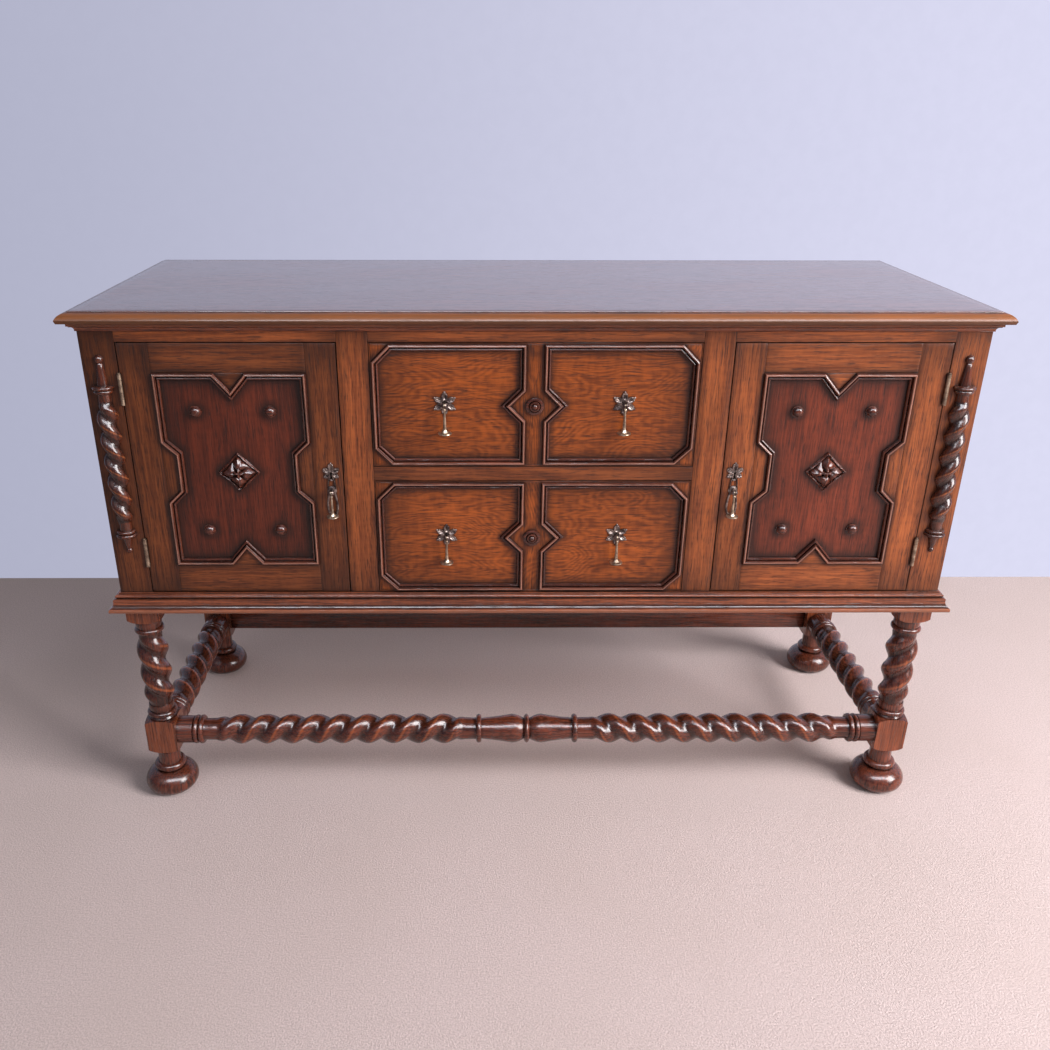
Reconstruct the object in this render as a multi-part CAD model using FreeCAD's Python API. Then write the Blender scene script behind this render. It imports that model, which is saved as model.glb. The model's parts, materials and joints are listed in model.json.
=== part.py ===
"""Oak dresser base: two cupboards and two drawers in a moulded carcase on a barley-twist stand.

Millimetres. X runs to the viewer's right, Z up, and the front faces -Y. The shapes are drawn with
y = 0 on the carcase front and y growing towards the wall, and are moved at the end so that the
origin lies under the middle of the top board.
"""
import FreeCAD, Part
import math
import os

V = FreeCAD.Vector

# Overall sizes
WIDTH = 1446.0               # top board, side to side
DEPTH = 519.0                # top board, front to back
HEIGHT = 906.0               # floor to the top surface
STAND_HEIGHT = 395.0         # floor to the underside of the carcase

# Top board and the moulding under it
TOP_THICK = 17.0
TOP_OVERHANG = 23.0          # past the carcase at the front and both ends
TOP_BACK_OVERHANG = 7.0      # past the carcase at the back
NOSING_WIDTH = 16.0          # thumb moulding along three edges
NOSING_DROP = 12.0
NOSING_UNDERCUT = 2.0
NOSING_QUIRK = 1.5           # small step between the top surface and the thumb moulding
BED_MOULD_HEIGHT = 14.0
BED_MOULD_PROJECTION = 12.0

# Base moulding round the foot of the carcase
BASE_MOULD_HEIGHT = 32.5
BASE_MOULD_PROJECTION = 20.0

# Front frame of the carcase
STILE_WIDTH = 54.2
STILE_DEPTH = 40.0
MUNTIN_WIDTH = 48.5
DRAWER_OPENING = 517.0       # clear width between the muntins
TOP_RAIL_HEIGHT = 31.0
DRAWER_RAIL_HEIGHT = 24.0
DRAWER_RAIL_DEPTH = 60.0
FRAME_THICK = 25.0
TENON_LENGTH = 14.0
TENON_THICK = 9.0
TENON_SHOULDER = 4.0         # kept at the top and bottom of each tenon

# Ends, back and inside of the carcase
REAR_POST_DEPTH = 60.0
END_RAIL_HEIGHT = 60.0
END_RAIL_THICK = 24.0
END_PANEL_THICK = 8.0
PANEL_GROOVE = 8.0
BOTTOM_THICK = 16.0
PARTITION_THICK = 18.0
BACK_PANEL_THICK = 8.0
BACK_REBATE = 10.0
BACK_RAIL_THICK = 24.0
SHELF_THICK = 15.0
SHELF_LEVEL = 225.0          # shelf top above the stand
SHELF_SETBACK = 45.0
BEARER = 15.0

# Doors
HINGE_GAP = 1.6              # between a door and its stile
DOOR_GAP = 1.6               # round the other edges of a door
DOOR_THICK = 22.0
DOOR_STILE_WIDTH = 48.0
DOOR_TOP_RAIL = 47.0
DOOR_BOTTOM_RAIL = 50.5
FIELD_RECESS = 4.0           # sunk fields, behind the face of the frames
PANEL_THICK = 10.0
NOTCH_HALF_WIDTH = 24.0      # V notches at the top and bottom of the door moulding
NOTCH_DEPTH = 28.0
SIDE_NOTCH_INNER = 60.0      # trapezoid notches at its sides
SIDE_NOTCH_OUTER = 102.0
SIDE_NOTCH_DEPTH = 22.0
STUD_RADIUS = 10.0
STUD_HEIGHT = 9.0
STUD_INSET_X = 60.8          # from the outer line of the moulding to the studs
STUD_INSET_Z = 62.9
LOZENGE_HALF = 34.0
LOZENGE_RIM = 4.0
LOZENGE_BASE = 3.0
LOZENGE_PEAK = 9.0

# Applied moulding on doors and drawers
MOULD_WIDTH = 11.0
MOULD_ROLL = 6.4             # width of the outer roll, the inner bead takes the rest
MOULD_HEIGHT = 9.0           # above the sunk field
MOULD_BEAD_HEIGHT = 5.5
ARC_STEPS = 6

# Hinges
HINGE_HEIGHT = 50.0
HINGE_TOP_SETBACK = 48.0     # from the door's top and bottom edges to the hinges
HINGE_PROUD = 2.5            # pin centre in front of the carcase face
KNUCKLE_RADIUS = 3.2
KNUCKLE_GAP = 0.4
KNUCKLES = 5
PIN_RADIUS = 1.5
PIN_CLEARANCE = 0.05
PIN_HEAD_RADIUS = 2.2
PIN_HEAD_HEIGHT = 2.0
LEAF_THICK = 1.5
LEAF_DEPTH = 18.0
LEAF_GAP = 0.4
HINGE_SCREWS = 3
SCREW_RADIUS = 1.5
SCREW_HEAD_RADIUS = 2.8
SCREW_LENGTH = 14.0

# Locks
LOCK_WIDTH = 34.0
LOCK_HEIGHT = 44.0
LOCK_THICK = 12.0
BOLT_LENGTH = 22.0
BOLT_THICK = 5.0
BOLT_HEIGHT = 12.0
BOLT_THROW = 8.0
BOLT_CLEARANCE = 0.2
STRIKE_CLEARANCE = 0.6
KEYHOLE_RADIUS = 1.9
KEYHOLE_SLOT = 2.2
KEYHOLE_DROP = 9.0

# Drawers
DRAWER_GAP = 1.0             # round a drawer front
DRAWER_FRONT_THICK = 20.0
DRAWER_BACK_GAP = 2.0        # behind a drawer, in front of the back rails
DRAWER_SIDE_THICK = 10.0
DRAWER_LAP = 10.0            # drawer side let into the end of the front
DRAWER_BOTTOM_THICK = 6.0
DRAWER_BOTTOM_LIFT = 8.0     # drawer bottom above the lower edge of the sides
DRAWER_GROOVE = 5.0
RUNNING_GAP = 0.3
KICKER_GAP = 4.0
GUIDE_GAP = 0.6
GUIDE_HEIGHT = 15.0
RUNNER_BEARING = 9.0         # width of runner under a drawer side
KICKER_HEIGHT = 18.0
STOP_HEIGHT = 6.0
STOP_LENGTH = 20.0
STOP_WIDTH = 25.0
STOP_SPREAD = 190.0
FRONT_MARGIN = 2.0           # plain border outside the drawer mouldings
BAND_HALF_WIDTH = 13.5       # upright band between the two panels of a front
BAND_POINT = 24.0            # half diamonds of the band
CORNER_CUT = 28.0            # cut outer corners of the panels
BOSS_RADIUS = 14.0
BOSS_HEIGHT = 9.0

# Drop handles
HANDLE_SPREAD = 142.0        # drawer handles from the middle of the front
HANDLE_RISE = 3.0            # above the middle of the front
PLATE_THICK = 2.2
STAR_RADIUS = 20.0
STAR_WAIST = 9.0
PETALS = 6
POST_RADIUS = 2.5
HEAD_RADIUS = 5.0
HEAD_SLOT = 3.4
TONGUE_THICK = 3.0
TONGUE_RADIUS = 3.2
PIVOT_RADIUS = 1.0
PIVOT_CLEARANCE = 0.05
NUT_RADIUS = 5.0
NUT_THICK = 3.5
DRAWER_PIVOT_STAND = 12.0    # pivot in front of the sunk field
DRAWER_DROP_LENGTH = 46.0
DRAWER_FOOT_RADIUS = 11.0
DROP_STEM_RADIUS = 1.6
DROP_SHOULDER = 6.5          # bead below the pivot, clear of the head
DROP_BEAD_HEIGHT = 2.0

# Door pulls
PULL_INSET = 19.0            # from the door's free edge
PULL_PIVOT_STAND = 12.5
PULL_PIVOT_LEVEL = 219.0     # above the stand
PULL_STAR_RISE = 34.0        # keyhole star above the pivot
PULL_STAR_RADIUS = 14.0
PULL_STAR_WAIST = 7.0
PULL_NECK_WIDTH = 9.0
PULL_LOOP_HALF_WIDTH = 12.0
PULL_LOOP_HALF_HEIGHT = 26.0
PULL_LOOP_DROP = 20.0        # middle of the loop below the pivot
PULL_LOOP_BAR = 3.4
PULL_BOSS_RADIUS = 8.0
PULL_DROP_LENGTH = 42.0
PULL_FOOT_RADIUS = 10.0

# Legs
BLOCK = 54.0                 # square of the leg blocks
BLOCK_INSET = 1.0            # blocks behind the carcase front and end faces
REAR_BLOCK_INSET = 15.0
TOP_BLOCK_HEIGHT = 32.0
STRETCHER_LEVEL = 125.0
STRETCHER_BLOCK = 70.0
SHOULDER = 8.0               # lathe-cut shoulder on the blocks
SHOULDER_RADIUS = 25.0
LEG_TENON_RADIUS = 10.0
LEG_TENON_LENGTH = 26.0
GLUE_GAP = 0.05
BUN_RADIUS = 48.0
BUN_HEIGHT = 45.0
BUN_SOLE_RADIUS = 32.0
ANKLE_COLLAR_RADIUS = 28.5
ANKLE_COLLAR_HEIGHT = 14.0
ANKLE_RADIUS = 21.0

# Barley twists: two ribs wind round each turned piece
TWIST_RADIUS = 27.5
TWIST_HOLLOW = 18.5
TWIST_PITCH = 47.0           # from one rib to the next
TWIST_NECK = 20.0
TWIST_NECK_LENGTH = 2.0      # plain neck at each end of a leg's twist
TWIST_FADE = 20.0            # length over which a rib rises from the neck
TWIST_SHARPNESS = 0.75       # under 1 makes broad ribs and narrow hollows
TWIST_SECTIONS = 8           # rows of poles for each rib spacing
TWIST_POINTS = 16            # poles round a section
CUBIC = 3                    # degree of the twisted surfaces
SINK = 1.5                   # overlap where turned lengths of one piece run together
SAME_SPOT = 1e-6             # points nearer than this are one
OVERCUT = 1.0                # cutters run this far past what they cut
RING_RADIUS = 26.5
RING_FOOT = 21.5             # radius beside a ring, a little over the neck of a twist
RING_HEIGHT = 10.0
COLLAR_RADIUS = 25.5         # ring at the head of a leg
COVE_RADIUS = 22.5           # plain turned lengths beside the rings of a leg
LEG_COVE = 14.0
LEG_HEAD = 26.0              # from the top block down to the twist

# Stretchers
STRETCHER_TENON_RADIUS = 9.0
STRETCHER_TENON_LENGTH = 15.0
STRETCHER_END_RADIUS = 25.0
STRETCHER_END_LENGTH = 28.0
STRETCHER_NECK_LENGTH = 20.0
VASE_RADIUS = 26.5
VASE_MIDDLE = 27.0
VASE_LENGTH = 84.0
VASE_NECK = 19.3
REAR_RAIL_THICK = 22.0
REAR_RAIL_MARGIN = 16.0      # above and below the rear rail on its leg blocks

# Split turnings on the outer stiles
SPLIT_TOP = 51.0             # below the carcase top
SPLIT_LENGTH = 336.0
SPLIT_TWIST_RADIUS = 17.5
SPLIT_HOLLOW = 10.5
SPLIT_NECK = 10.5
SPLIT_PLAIN = 12.0           # plain neck between each collar and the twist
SPLIT_PITCH = 36.0
SPLIT_COLLAR_RADIUS = 17.5
SPLIT_COLLAR_HEIGHT = 12.0
SPLIT_FADE = 15.0
SPLIT_BALL_RADIUS = 7.0
SPLIT_TIP_RADIUS = 5.0       # rounded lower tip
SPLIT_CONE_RADIUS = 9.0      # cones of the finials beside the collars
SPLIT_FINIAL = 60.0          # from the upper tip to the far side of its collar
SPLIT_TAIL = 43.0            # from the lower tip to the far side of its collar

# Levels and lines worked out from the sizes above
HALF_CARCASE = WIDTH / 2 - TOP_OVERHANG
CARCASE_DEPTH = DEPTH - TOP_OVERHANG - TOP_BACK_OVERHANG
CARCASE_TOP = HEIGHT - TOP_THICK
SILL = STAND_HEIGHT + BASE_MOULD_HEIGHT
STILE_EDGE = HALF_CARCASE - STILE_WIDTH
MUNTIN_IN = DRAWER_OPENING / 2
MUNTIN_OUT = MUNTIN_IN + MUNTIN_WIDTH
HEAD = CARCASE_TOP - TOP_RAIL_HEIGHT
DRAWER_SPACE = (HEAD - SILL - DRAWER_RAIL_HEIGHT) / 2
END_INNER = HALF_CARCASE - END_RAIL_THICK
REAR_POST_FRONT = CARCASE_DEPTH - REAR_POST_DEPTH
BACK_INNER = CARCASE_DEPTH - BACK_PANEL_THICK
BACK_RAIL_FRONT = BACK_INNER - BACK_RAIL_THICK
DRAWER_REAR = BACK_RAIL_FRONT - DRAWER_BACK_GAP
PARTITION_IN = (MUNTIN_IN + MUNTIN_OUT - PARTITION_THICK) / 2
PARTITION_OUT = PARTITION_IN + PARTITION_THICK
LEG_X = HALF_CARCASE - BLOCK_INSET - BLOCK / 2
LEG_FRONT_Y = BLOCK_INSET + BLOCK / 2
LEG_REAR_Y = CARCASE_DEPTH - REAR_BLOCK_INSET - BLOCK / 2
DOOR_IN = MUNTIN_OUT + DOOR_GAP
DOOR_OUT = STILE_EDGE - HINGE_GAP
DOOR_BOTTOM = SILL + DOOR_GAP
DOOR_TOP = HEAD - DOOR_GAP
DOOR_MIDDLE = (DOOR_IN + DOOR_OUT) / 2
HINGE_X = STILE_EDGE - HINGE_GAP / 2
PULL_X = DOOR_IN + PULL_INSET
PULL_Z = STAND_HEIGHT + PULL_PIVOT_LEVEL
KEYHOLE_Z = PULL_Z + PULL_STAR_RISE - KEYHOLE_DROP / 2
FRONT_SHIFT = TOP_OVERHANG - DEPTH / 2


# Basic shapes

def box(x0, x1, y0, y1, z0, z1):
    return Part.makeBox(x1 - x0, y1 - y0, z1 - z0, V(x0, y0, z0))


def rod(radius, start, end):
    along = V(*end) - V(*start)
    return Part.makeCylinder(radius, along.Length, V(*start), along)


def mirrored(shape):
    return shape.mirror(V(0, 0, 0), V(1, 0, 0))


def pair(shape):
    return [shape, mirrored(shape)]


def face_of(steps, place):
    """A closed flat face. A step is (a, b), or (a, b, ma, mb) for an arc by way of (ma, mb)."""
    spots = [place(step[0], step[1]) for step in steps]
    edges = []
    for i, step in enumerate(steps):
        start = spots[i - 1]
        end = spots[i]
        if start.distanceToPoint(end) < SAME_SPOT:
            continue
        if len(step) == 4:
            edges.append(Part.Arc(start, place(step[2], step[3]), end).toShape())
        else:
            edges.append(Part.LineSegment(start, end).toShape())
    return Part.Face(Part.Wire(edges))


def upright(steps, y0, y1):
    """A plate whose outline is seen from the front, between two depths."""
    face = face_of(steps, lambda x, z: V(x, y0, z))
    return face.extrude(V(0, y1 - y0, 0))


def turned(steps, bottom):
    """A turned length on the Z axis. A step is (height, radius), or (height, radius, middle radius)."""
    outline = [(0, bottom)]
    height = bottom
    for step in steps:
        end = step[0]
        if len(step) == 3:
            outline.append((step[1], end, step[2], (height + end) / 2))
        else:
            outline.append((step[1], end))
        height = end
    outline.append((0, height))
    face = face_of(outline, lambda r, z: V(r, 0, z))
    return face.revolve(V(0, 0, 0), V(0, 0, 1), 360)


def twist(radius, hollow, neck, pitch, fade, plain, bottom, top, hand):
    """A two-rib twist on the Z axis between two collars, with a plain round neck at both ends.

    Its ends are sunk into the collars, which have to be wider than the neck. The poles of its
    surface stand a little outside it, by the share that a cubic draws in between its poles.
    """
    low = bottom - SINK
    length = top + SINK - low
    count = max(2 * CUBIC, round(length / pitch * TWIST_SECTIONS))
    around = 2 * math.pi / TWIST_POINTS
    step = math.pi * length / pitch / count
    draw_in = (2 + math.cos(around)) / 3 * (2 + math.cos(step)) / 3
    poles = []
    for i in range(count + 1):
        z = low + length * i / count
        reach = max(0.0, min(1.0, (z - bottom - plain) / fade, (top - plain - z) / fade))
        rise = reach * reach * (3 - 2 * reach)
        row = []
        for j in range(TWIST_POINTS):
            rib = math.sin(around * j) ** 2
            ribbed = hollow + (radius - hollow) * rib ** TWIST_SHARPNESS
            r = (neck + rise * (ribbed - neck)) / draw_in
            angle = around * j + hand * step * i
            row.append(V(r * math.cos(angle), r * math.sin(angle), z))
        poles.append(row)
    spans = count + 1 - CUBIC
    ends = [CUBIC + 1]
    surface = Part.BSplineSurface()
    surface.buildFromPolesMultsKnots(poles, ends + [1] * (spans - 1) + ends, [1] * (TWIST_POINTS + 1),
                                     list(range(spans + 1)), list(range(TWIST_POINTS + 1)),
                                     False, True, CUBIC, CUBIC)
    side = surface.toShape()
    caps = [Part.Face(Part.Wire(edge)) for edge in side.Edges if edge.isClosed()]
    shell = Part.makeShell([side] + caps)
    shell.sewShape()
    return Part.makeSolid(shell)


def joined(shapes):
    """One solid from lengths that run into each other."""
    whole = shapes[0].fuse(shapes[1:])
    return whole.removeSplitter()


def along_x(shape):
    """Lays a Z-axis shape along +X."""
    laid = shape.copy()
    laid.rotate(V(0, 0, 0), V(0, 1, 0), 90)
    return laid


def along_y(shape):
    """Lays a Z-axis shape along +Y."""
    laid = shape.copy()
    laid.rotate(V(0, 0, 0), V(1, 0, 0), -90)
    return laid


def moved(shape, x, y, z):
    copy = shape.copy()
    copy.translate(V(x, y, z))
    return copy


def half_round(u0, u1, base, crest):
    """Points over a bead from u0 to u1, from its base height to its crest."""
    points = []
    for i in range(ARC_STEPS + 1):
        angle = math.pi * i / ARC_STEPS
        u = (u0 + u1) / 2 - (u1 - u0) / 2 * math.cos(angle)
        points.append((u, base + (crest - base) * math.sin(angle)))
    return points


def tenon(x0, x1, y0, y1, z0, z1):
    """Tenon let into a neighbour, centred in the rail's thickness and with a shoulder above and below."""
    middle = (y0 + y1) / 2
    return box(x0, x1, middle - TENON_THICK / 2, middle + TENON_THICK / 2,
               z0 + TENON_SHOULDER, z1 - TENON_SHOULDER)


def cross_rail(x0, x1, y0, y1, z0, z1):
    """A rail between uprights, and the two tenons that its neighbours are mortised for."""
    tenons = [tenon(x0 - TENON_LENGTH, x0, y0, y1, z0, z1),
              tenon(x1, x1 + TENON_LENGTH, y0, y1, z0, z1)]
    return joined([box(x0, x1, y0, y1, z0, z1)] + tenons), tenons


PIECES = {}


def keep(name, shapes):
    PIECES[name] = shapes if isinstance(shapes, list) else [shapes]


# Top board and mouldings

def top_board():
    back = CARCASE_DEPTH + TOP_BACK_OVERHANG
    lip = HEIGHT - NOSING_DROP
    fall = NOSING_DROP - NOSING_QUIRK
    radius = (NOSING_WIDTH ** 2 + fall ** 2) / (2 * fall)
    half_turn = math.asin(NOSING_WIDTH / radius) / 2
    under = TOP_OVERHANG - NOSING_UNDERCUT

    def nosed(edge, inner, sign):
        """A small step down, an arc that starts level, and the undercut below it."""
        start = edge + sign * NOSING_WIDTH
        foot = HEIGHT - NOSING_QUIRK
        middle = start - sign * radius * math.sin(half_turn)
        sunk = foot - radius * (1 - math.cos(half_turn))
        return [(start, HEIGHT), (start, foot), (edge, lip, middle, sunk), (inner, CARCASE_TOP)]

    front_outline = [(back, CARCASE_TOP), (back, HEIGHT)] + nosed(-TOP_OVERHANG, -under, 1)
    along = face_of(front_outline, lambda y, z: V(-WIDTH / 2, y, z)).extrude(V(WIDTH, 0, 0))
    half = WIDTH / 2
    foot = half - NOSING_UNDERCUT
    right = nosed(half, foot, -1)
    left = nosed(-half, -foot, 1)
    ends_outline = left + [(foot, CARCASE_TOP), (half, lip)]
    ends_outline += [right[1] + right[2][2:], right[0]]
    across = face_of(ends_outline, lambda x, z: V(x, -TOP_OVERHANG, z)).extrude(V(0, DEPTH, 0))
    keep("top_board", along.common(across))


def mitred_lengths(steps, bottom):
    """Front and end lengths of a moulding round the carcase, mitred at the front corners."""
    reach = max(step[0] for step in steps) + OVERCUT
    top = bottom + max(step[1] for step in steps)
    half = HALF_CARCASE
    long_face = face_of(steps, lambda p, h: V(-half - reach, -p, bottom + h))
    front = long_face.extrude(V(2 * (half + reach), 0, 0))
    end_face = face_of(steps, lambda p, h: V(half + p, -reach, bottom + h))
    end = end_face.extrude(V(0, CARCASE_DEPTH + reach, 0))
    front_plan = [(-half, 0), (-half - reach, -reach), (half + reach, -reach), (half, 0)]
    end_plan = [(half, 0), (half + reach, -reach), (half + reach, CARCASE_DEPTH), (half, CARCASE_DEPTH)]

    def prism(plan):
        return face_of(plan, lambda x, y: V(x, y, bottom)).extrude(V(0, 0, top - bottom))

    return [front.common(prism(front_plan))] + pair(end.common(prism(end_plan)))


def carcase_mouldings():
    p = BED_MOULD_PROJECTION
    h = BED_MOULD_HEIGHT
    bed = [(0, 0), (0.2 * p, 0), (0.7 * p, 0.5 * h, 0.3 * p, 0.36 * h), (0.7 * p, 0.6 * h),
           (0.82 * p, 0.6 * h), (0.82 * p, 0.9 * h, p, 0.75 * h), (0.7 * p, 0.9 * h), (0.7 * p, h), (0, h)]
    keep("top_moulding", mitred_lengths(bed, CARCASE_TOP - h))
    p = BASE_MOULD_PROJECTION
    h = BASE_MOULD_HEIGHT
    base = [(0, 0), (0.9 * p, 0), (0.9 * p, 0.2 * h, p, 0.1 * h), (0.86 * p, 0.22 * h),
            (0.62 * p, 0.44 * h, 0.68 * p, 0.31 * h), (0.58 * p, 0.46 * h), (0.58 * p, 0.66 * h),
            (0.42 * p, 0.7 * h), (0.3 * p, 0.74 * h), (0.3 * p, 0.9 * h, 0.42 * p, 0.82 * h),
            (0.14 * p, 0.92 * h), (0.14 * p, h), (0, h)]
    keep("base_moulding", mitred_lengths(base, STAND_HEIGHT))


# Carcase frame

def end_panel():
    middle = HALF_CARCASE - END_RAIL_THICK / 2
    return box(middle - END_PANEL_THICK / 2, middle + END_PANEL_THICK / 2,
               STILE_DEPTH - PANEL_GROOVE, REAR_POST_FRONT + PANEL_GROOVE,
               STAND_HEIGHT + END_RAIL_HEIGHT - PANEL_GROOVE, CARCASE_TOP - END_RAIL_HEIGHT + PANEL_GROOVE)


def end_rail(z0):
    """A rail of the end frame, with a tenon in the front stile and one in the rear post."""
    middle = HALF_CARCASE - END_RAIL_THICK / 2
    rail = box(END_INNER, HALF_CARCASE, STILE_DEPTH, REAR_POST_FRONT, z0, z0 + END_RAIL_HEIGHT)
    low = z0 + TENON_SHOULDER
    high = z0 + END_RAIL_HEIGHT - TENON_SHOULDER
    tenons = []
    for y in (STILE_DEPTH - TENON_LENGTH, REAR_POST_FRONT):
        tenons.append(box(middle - TENON_THICK / 2, middle + TENON_THICK / 2, y, y + TENON_LENGTH, low, high))
    return joined([rail] + tenons), tenons


def leg_socket(y):
    return rod(LEG_TENON_RADIUS + GLUE_GAP, (LEG_X, y, STAND_HEIGHT),
               (LEG_X, y, STAND_HEIGHT + LEG_TENON_LENGTH + GLUE_GAP))


def back_panel():
    edge = STILE_EDGE + BACK_REBATE
    return box(-edge, edge, BACK_INNER, CARCASE_DEPTH, STAND_HEIGHT, CARCASE_TOP)


def carcase_frame():
    rails = []
    stile_cuts = hinge_cuts(1) + [leg_socket(LEG_FRONT_Y)]
    muntin_cuts = [strike_mortise()]

    base, tenons = cross_rail(-STILE_EDGE, STILE_EDGE, 0, FRAME_THICK, STAND_HEIGHT, SILL)
    rails.append(base)
    stile_cuts.append(tenons[1])
    side, tenons = cross_rail(MUNTIN_OUT, STILE_EDGE, 0, FRAME_THICK, HEAD, CARCASE_TOP)
    rails += pair(side)
    muntin_cuts.append(tenons[0])
    stile_cuts.append(tenons[1])
    centre, tenons = cross_rail(-MUNTIN_IN, MUNTIN_IN, 0, FRAME_THICK, HEAD, CARCASE_TOP)
    rails.append(centre)
    muntin_cuts.append(tenons[1])
    low = SILL + DRAWER_SPACE
    middle, tenons = cross_rail(-MUNTIN_IN, MUNTIN_IN, 0, FRAME_THICK, low, low + DRAWER_RAIL_HEIGHT)
    shelf = box(-MUNTIN_IN, MUNTIN_IN, FRAME_THICK, DRAWER_RAIL_DEPTH, low, low + DRAWER_RAIL_HEIGHT)
    rails.append(joined([middle, shelf]))
    muntin_cuts.append(tenons[1])
    keep("front_rails", rails)

    muntin = box(MUNTIN_IN, MUNTIN_OUT, 0, FRAME_THICK, SILL, CARCASE_TOP).cut(muntin_cuts)
    keep("muntins", pair(muntin))

    panel = end_panel()
    keep("end_panels", pair(panel))
    post_cuts = [panel, back_panel(), leg_socket(LEG_REAR_Y)]
    stile_cuts.append(panel)
    end_rails = []
    for z0 in (STAND_HEIGHT, CARCASE_TOP - END_RAIL_HEIGHT):
        rail, tenons = end_rail(z0)
        end_rails += pair(rail.cut(panel))
        stile_cuts.append(tenons[0])
        post_cuts.append(tenons[1])
    keep("end_rails", end_rails)

    stile = box(STILE_EDGE, HALF_CARCASE, 0, STILE_DEPTH, STAND_HEIGHT, CARCASE_TOP).cut(stile_cuts)
    keep("front_stiles", pair(stile))
    post = box(STILE_EDGE, HALF_CARCASE, REAR_POST_FRONT, CARCASE_DEPTH, STAND_HEIGHT, CARCASE_TOP)
    keep("rear_posts", pair(post.cut(post_cuts)))
    keep("back_panel", back_panel())


def carcase_inside():
    floor = SILL - BOTTOM_THICK
    top_back = box(-STILE_EDGE, STILE_EDGE, BACK_RAIL_FRONT, BACK_INNER, HEAD, CARCASE_TOP)
    low_back = box(-STILE_EDGE, STILE_EDGE, BACK_RAIL_FRONT, BACK_INNER, STAND_HEIGHT, floor)
    keep("back_rails", [top_back, low_back])
    wide = box(-END_INNER, END_INNER, STILE_DEPTH, REAR_POST_FRONT, floor, SILL)
    deep = box(-STILE_EDGE, STILE_EDGE, FRAME_THICK, BACK_INNER, floor, SILL)
    keep("bottom_board", joined([wide, deep]))
    partition = box(PARTITION_IN, PARTITION_OUT, FRAME_THICK, BACK_INNER, SILL, CARCASE_TOP)
    keep("partitions", pair(partition.cut(top_back)))

    top = STAND_HEIGHT + SHELF_LEVEL
    under = top - SHELF_THICK
    shelf = box(PARTITION_OUT, END_INNER, SHELF_SETBACK, REAR_POST_FRONT, under, top)
    keep("shelves", pair(shelf))
    inner = box(PARTITION_OUT, PARTITION_OUT + BEARER, SHELF_SETBACK, REAR_POST_FRONT, under - BEARER, under)
    outer = box(END_INNER - BEARER, END_INNER, STILE_DEPTH, REAR_POST_FRONT, under - BEARER, under)
    keep("shelf_bearers", pair(inner) + pair(outer))


def drawer_runners():
    back = BACK_RAIL_FRONT
    rail_low = SILL + DRAWER_SPACE
    rail_high = rail_low + DRAWER_RAIL_HEIGHT
    inner = MUNTIN_IN - RUNNER_BEARING
    guide = MUNTIN_IN - DRAWER_GAP + GUIDE_GAP
    runner = box(inner, PARTITION_IN, DRAWER_RAIL_DEPTH, back, rail_low, rail_high)
    kicker = box(inner, PARTITION_IN, FRAME_THICK, back, HEAD, HEAD + KICKER_HEIGHT)
    strips = pair(runner) + pair(kicker)
    for level in (SILL, rail_high):
        strips += pair(box(guide, PARTITION_IN, DRAWER_RAIL_DEPTH, back, level, level + GUIDE_HEIGHT))
        behind = FIELD_RECESS + DRAWER_FRONT_THICK + RUNNING_GAP
        stop = box(STOP_SPREAD - STOP_WIDTH / 2, STOP_SPREAD + STOP_WIDTH / 2, behind, behind + STOP_LENGTH,
                   level, level + STOP_HEIGHT)
        strips += pair(stop)
    keep("drawer_runners", strips)


# Hinges

def hinge_levels():
    low = DOOR_BOTTOM + HINGE_TOP_SETBACK
    high = DOOR_TOP - HINGE_TOP_SETBACK - HINGE_HEIGHT
    return [low, high]


def knuckle_spans(bottom):
    """Heights of the knuckles of one hinge, from the bottom up. The odd ones belong to the door."""
    length = HINGE_HEIGHT / KNUCKLES
    spans = []
    for i in range(KNUCKLES):
        low = bottom + i * length + KNUCKLE_GAP / 2
        spans.append((low, low + length - KNUCKLE_GAP))
    return spans


def hinge_rod(radius, low, high):
    return rod(radius, (HINGE_X, -HINGE_PROUD, low), (HINGE_X, -HINGE_PROUD, high))


def leaf_plate(bottom, side):
    """The flat of one leaf: side 1 lies on the stile, side -1 on the door."""
    near = HINGE_X + side * LEAF_GAP / 2
    far = near + side * LEAF_THICK
    low = bottom + KNUCKLE_GAP / 2
    high = bottom + HINGE_HEIGHT - KNUCKLE_GAP / 2
    return box(min(near, far), max(near, far), -HINGE_PROUD, LEAF_DEPTH, low, high)


def leaf_screws(bottom, side):
    """Countersunk screws, their heads level with the inside of the leaf."""
    start = HINGE_X + side * LEAF_GAP / 2
    depth = (KNUCKLE_RADIUS + LEAF_DEPTH) / 2
    screws = []
    for i in range(HINGE_SCREWS):
        z = bottom + HINGE_HEIGHT * (i + 0.5) / HINGE_SCREWS
        head = Part.makeCone(SCREW_HEAD_RADIUS, SCREW_RADIUS, LEAF_THICK, V(start, depth, z), V(side, 0, 0))
        shank = rod(SCREW_RADIUS, (start, depth, z), (start + side * SCREW_LENGTH, depth, z))
        screws.append(joined([head, shank]))
    return screws


def hinge_leaf(bottom, side):
    spans = knuckle_spans(bottom)
    own = spans[0::2] if side == 1 else spans[1::2]
    other = spans[1::2] if side == 1 else spans[0::2]
    room = KNUCKLE_RADIUS + KNUCKLE_GAP
    gaps = [hinge_rod(room, low - KNUCKLE_GAP, high + KNUCKLE_GAP) for low, high in other]
    plate = leaf_plate(bottom, side).cut(gaps)
    knuckles = [hinge_rod(KNUCKLE_RADIUS, low, high) for low, high in own]
    bore = hinge_rod(PIN_RADIUS + PIN_CLEARANCE, bottom, bottom + HINGE_HEIGHT)
    return joined([plate] + knuckles).cut([bore] + leaf_screws(bottom, side))


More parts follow.
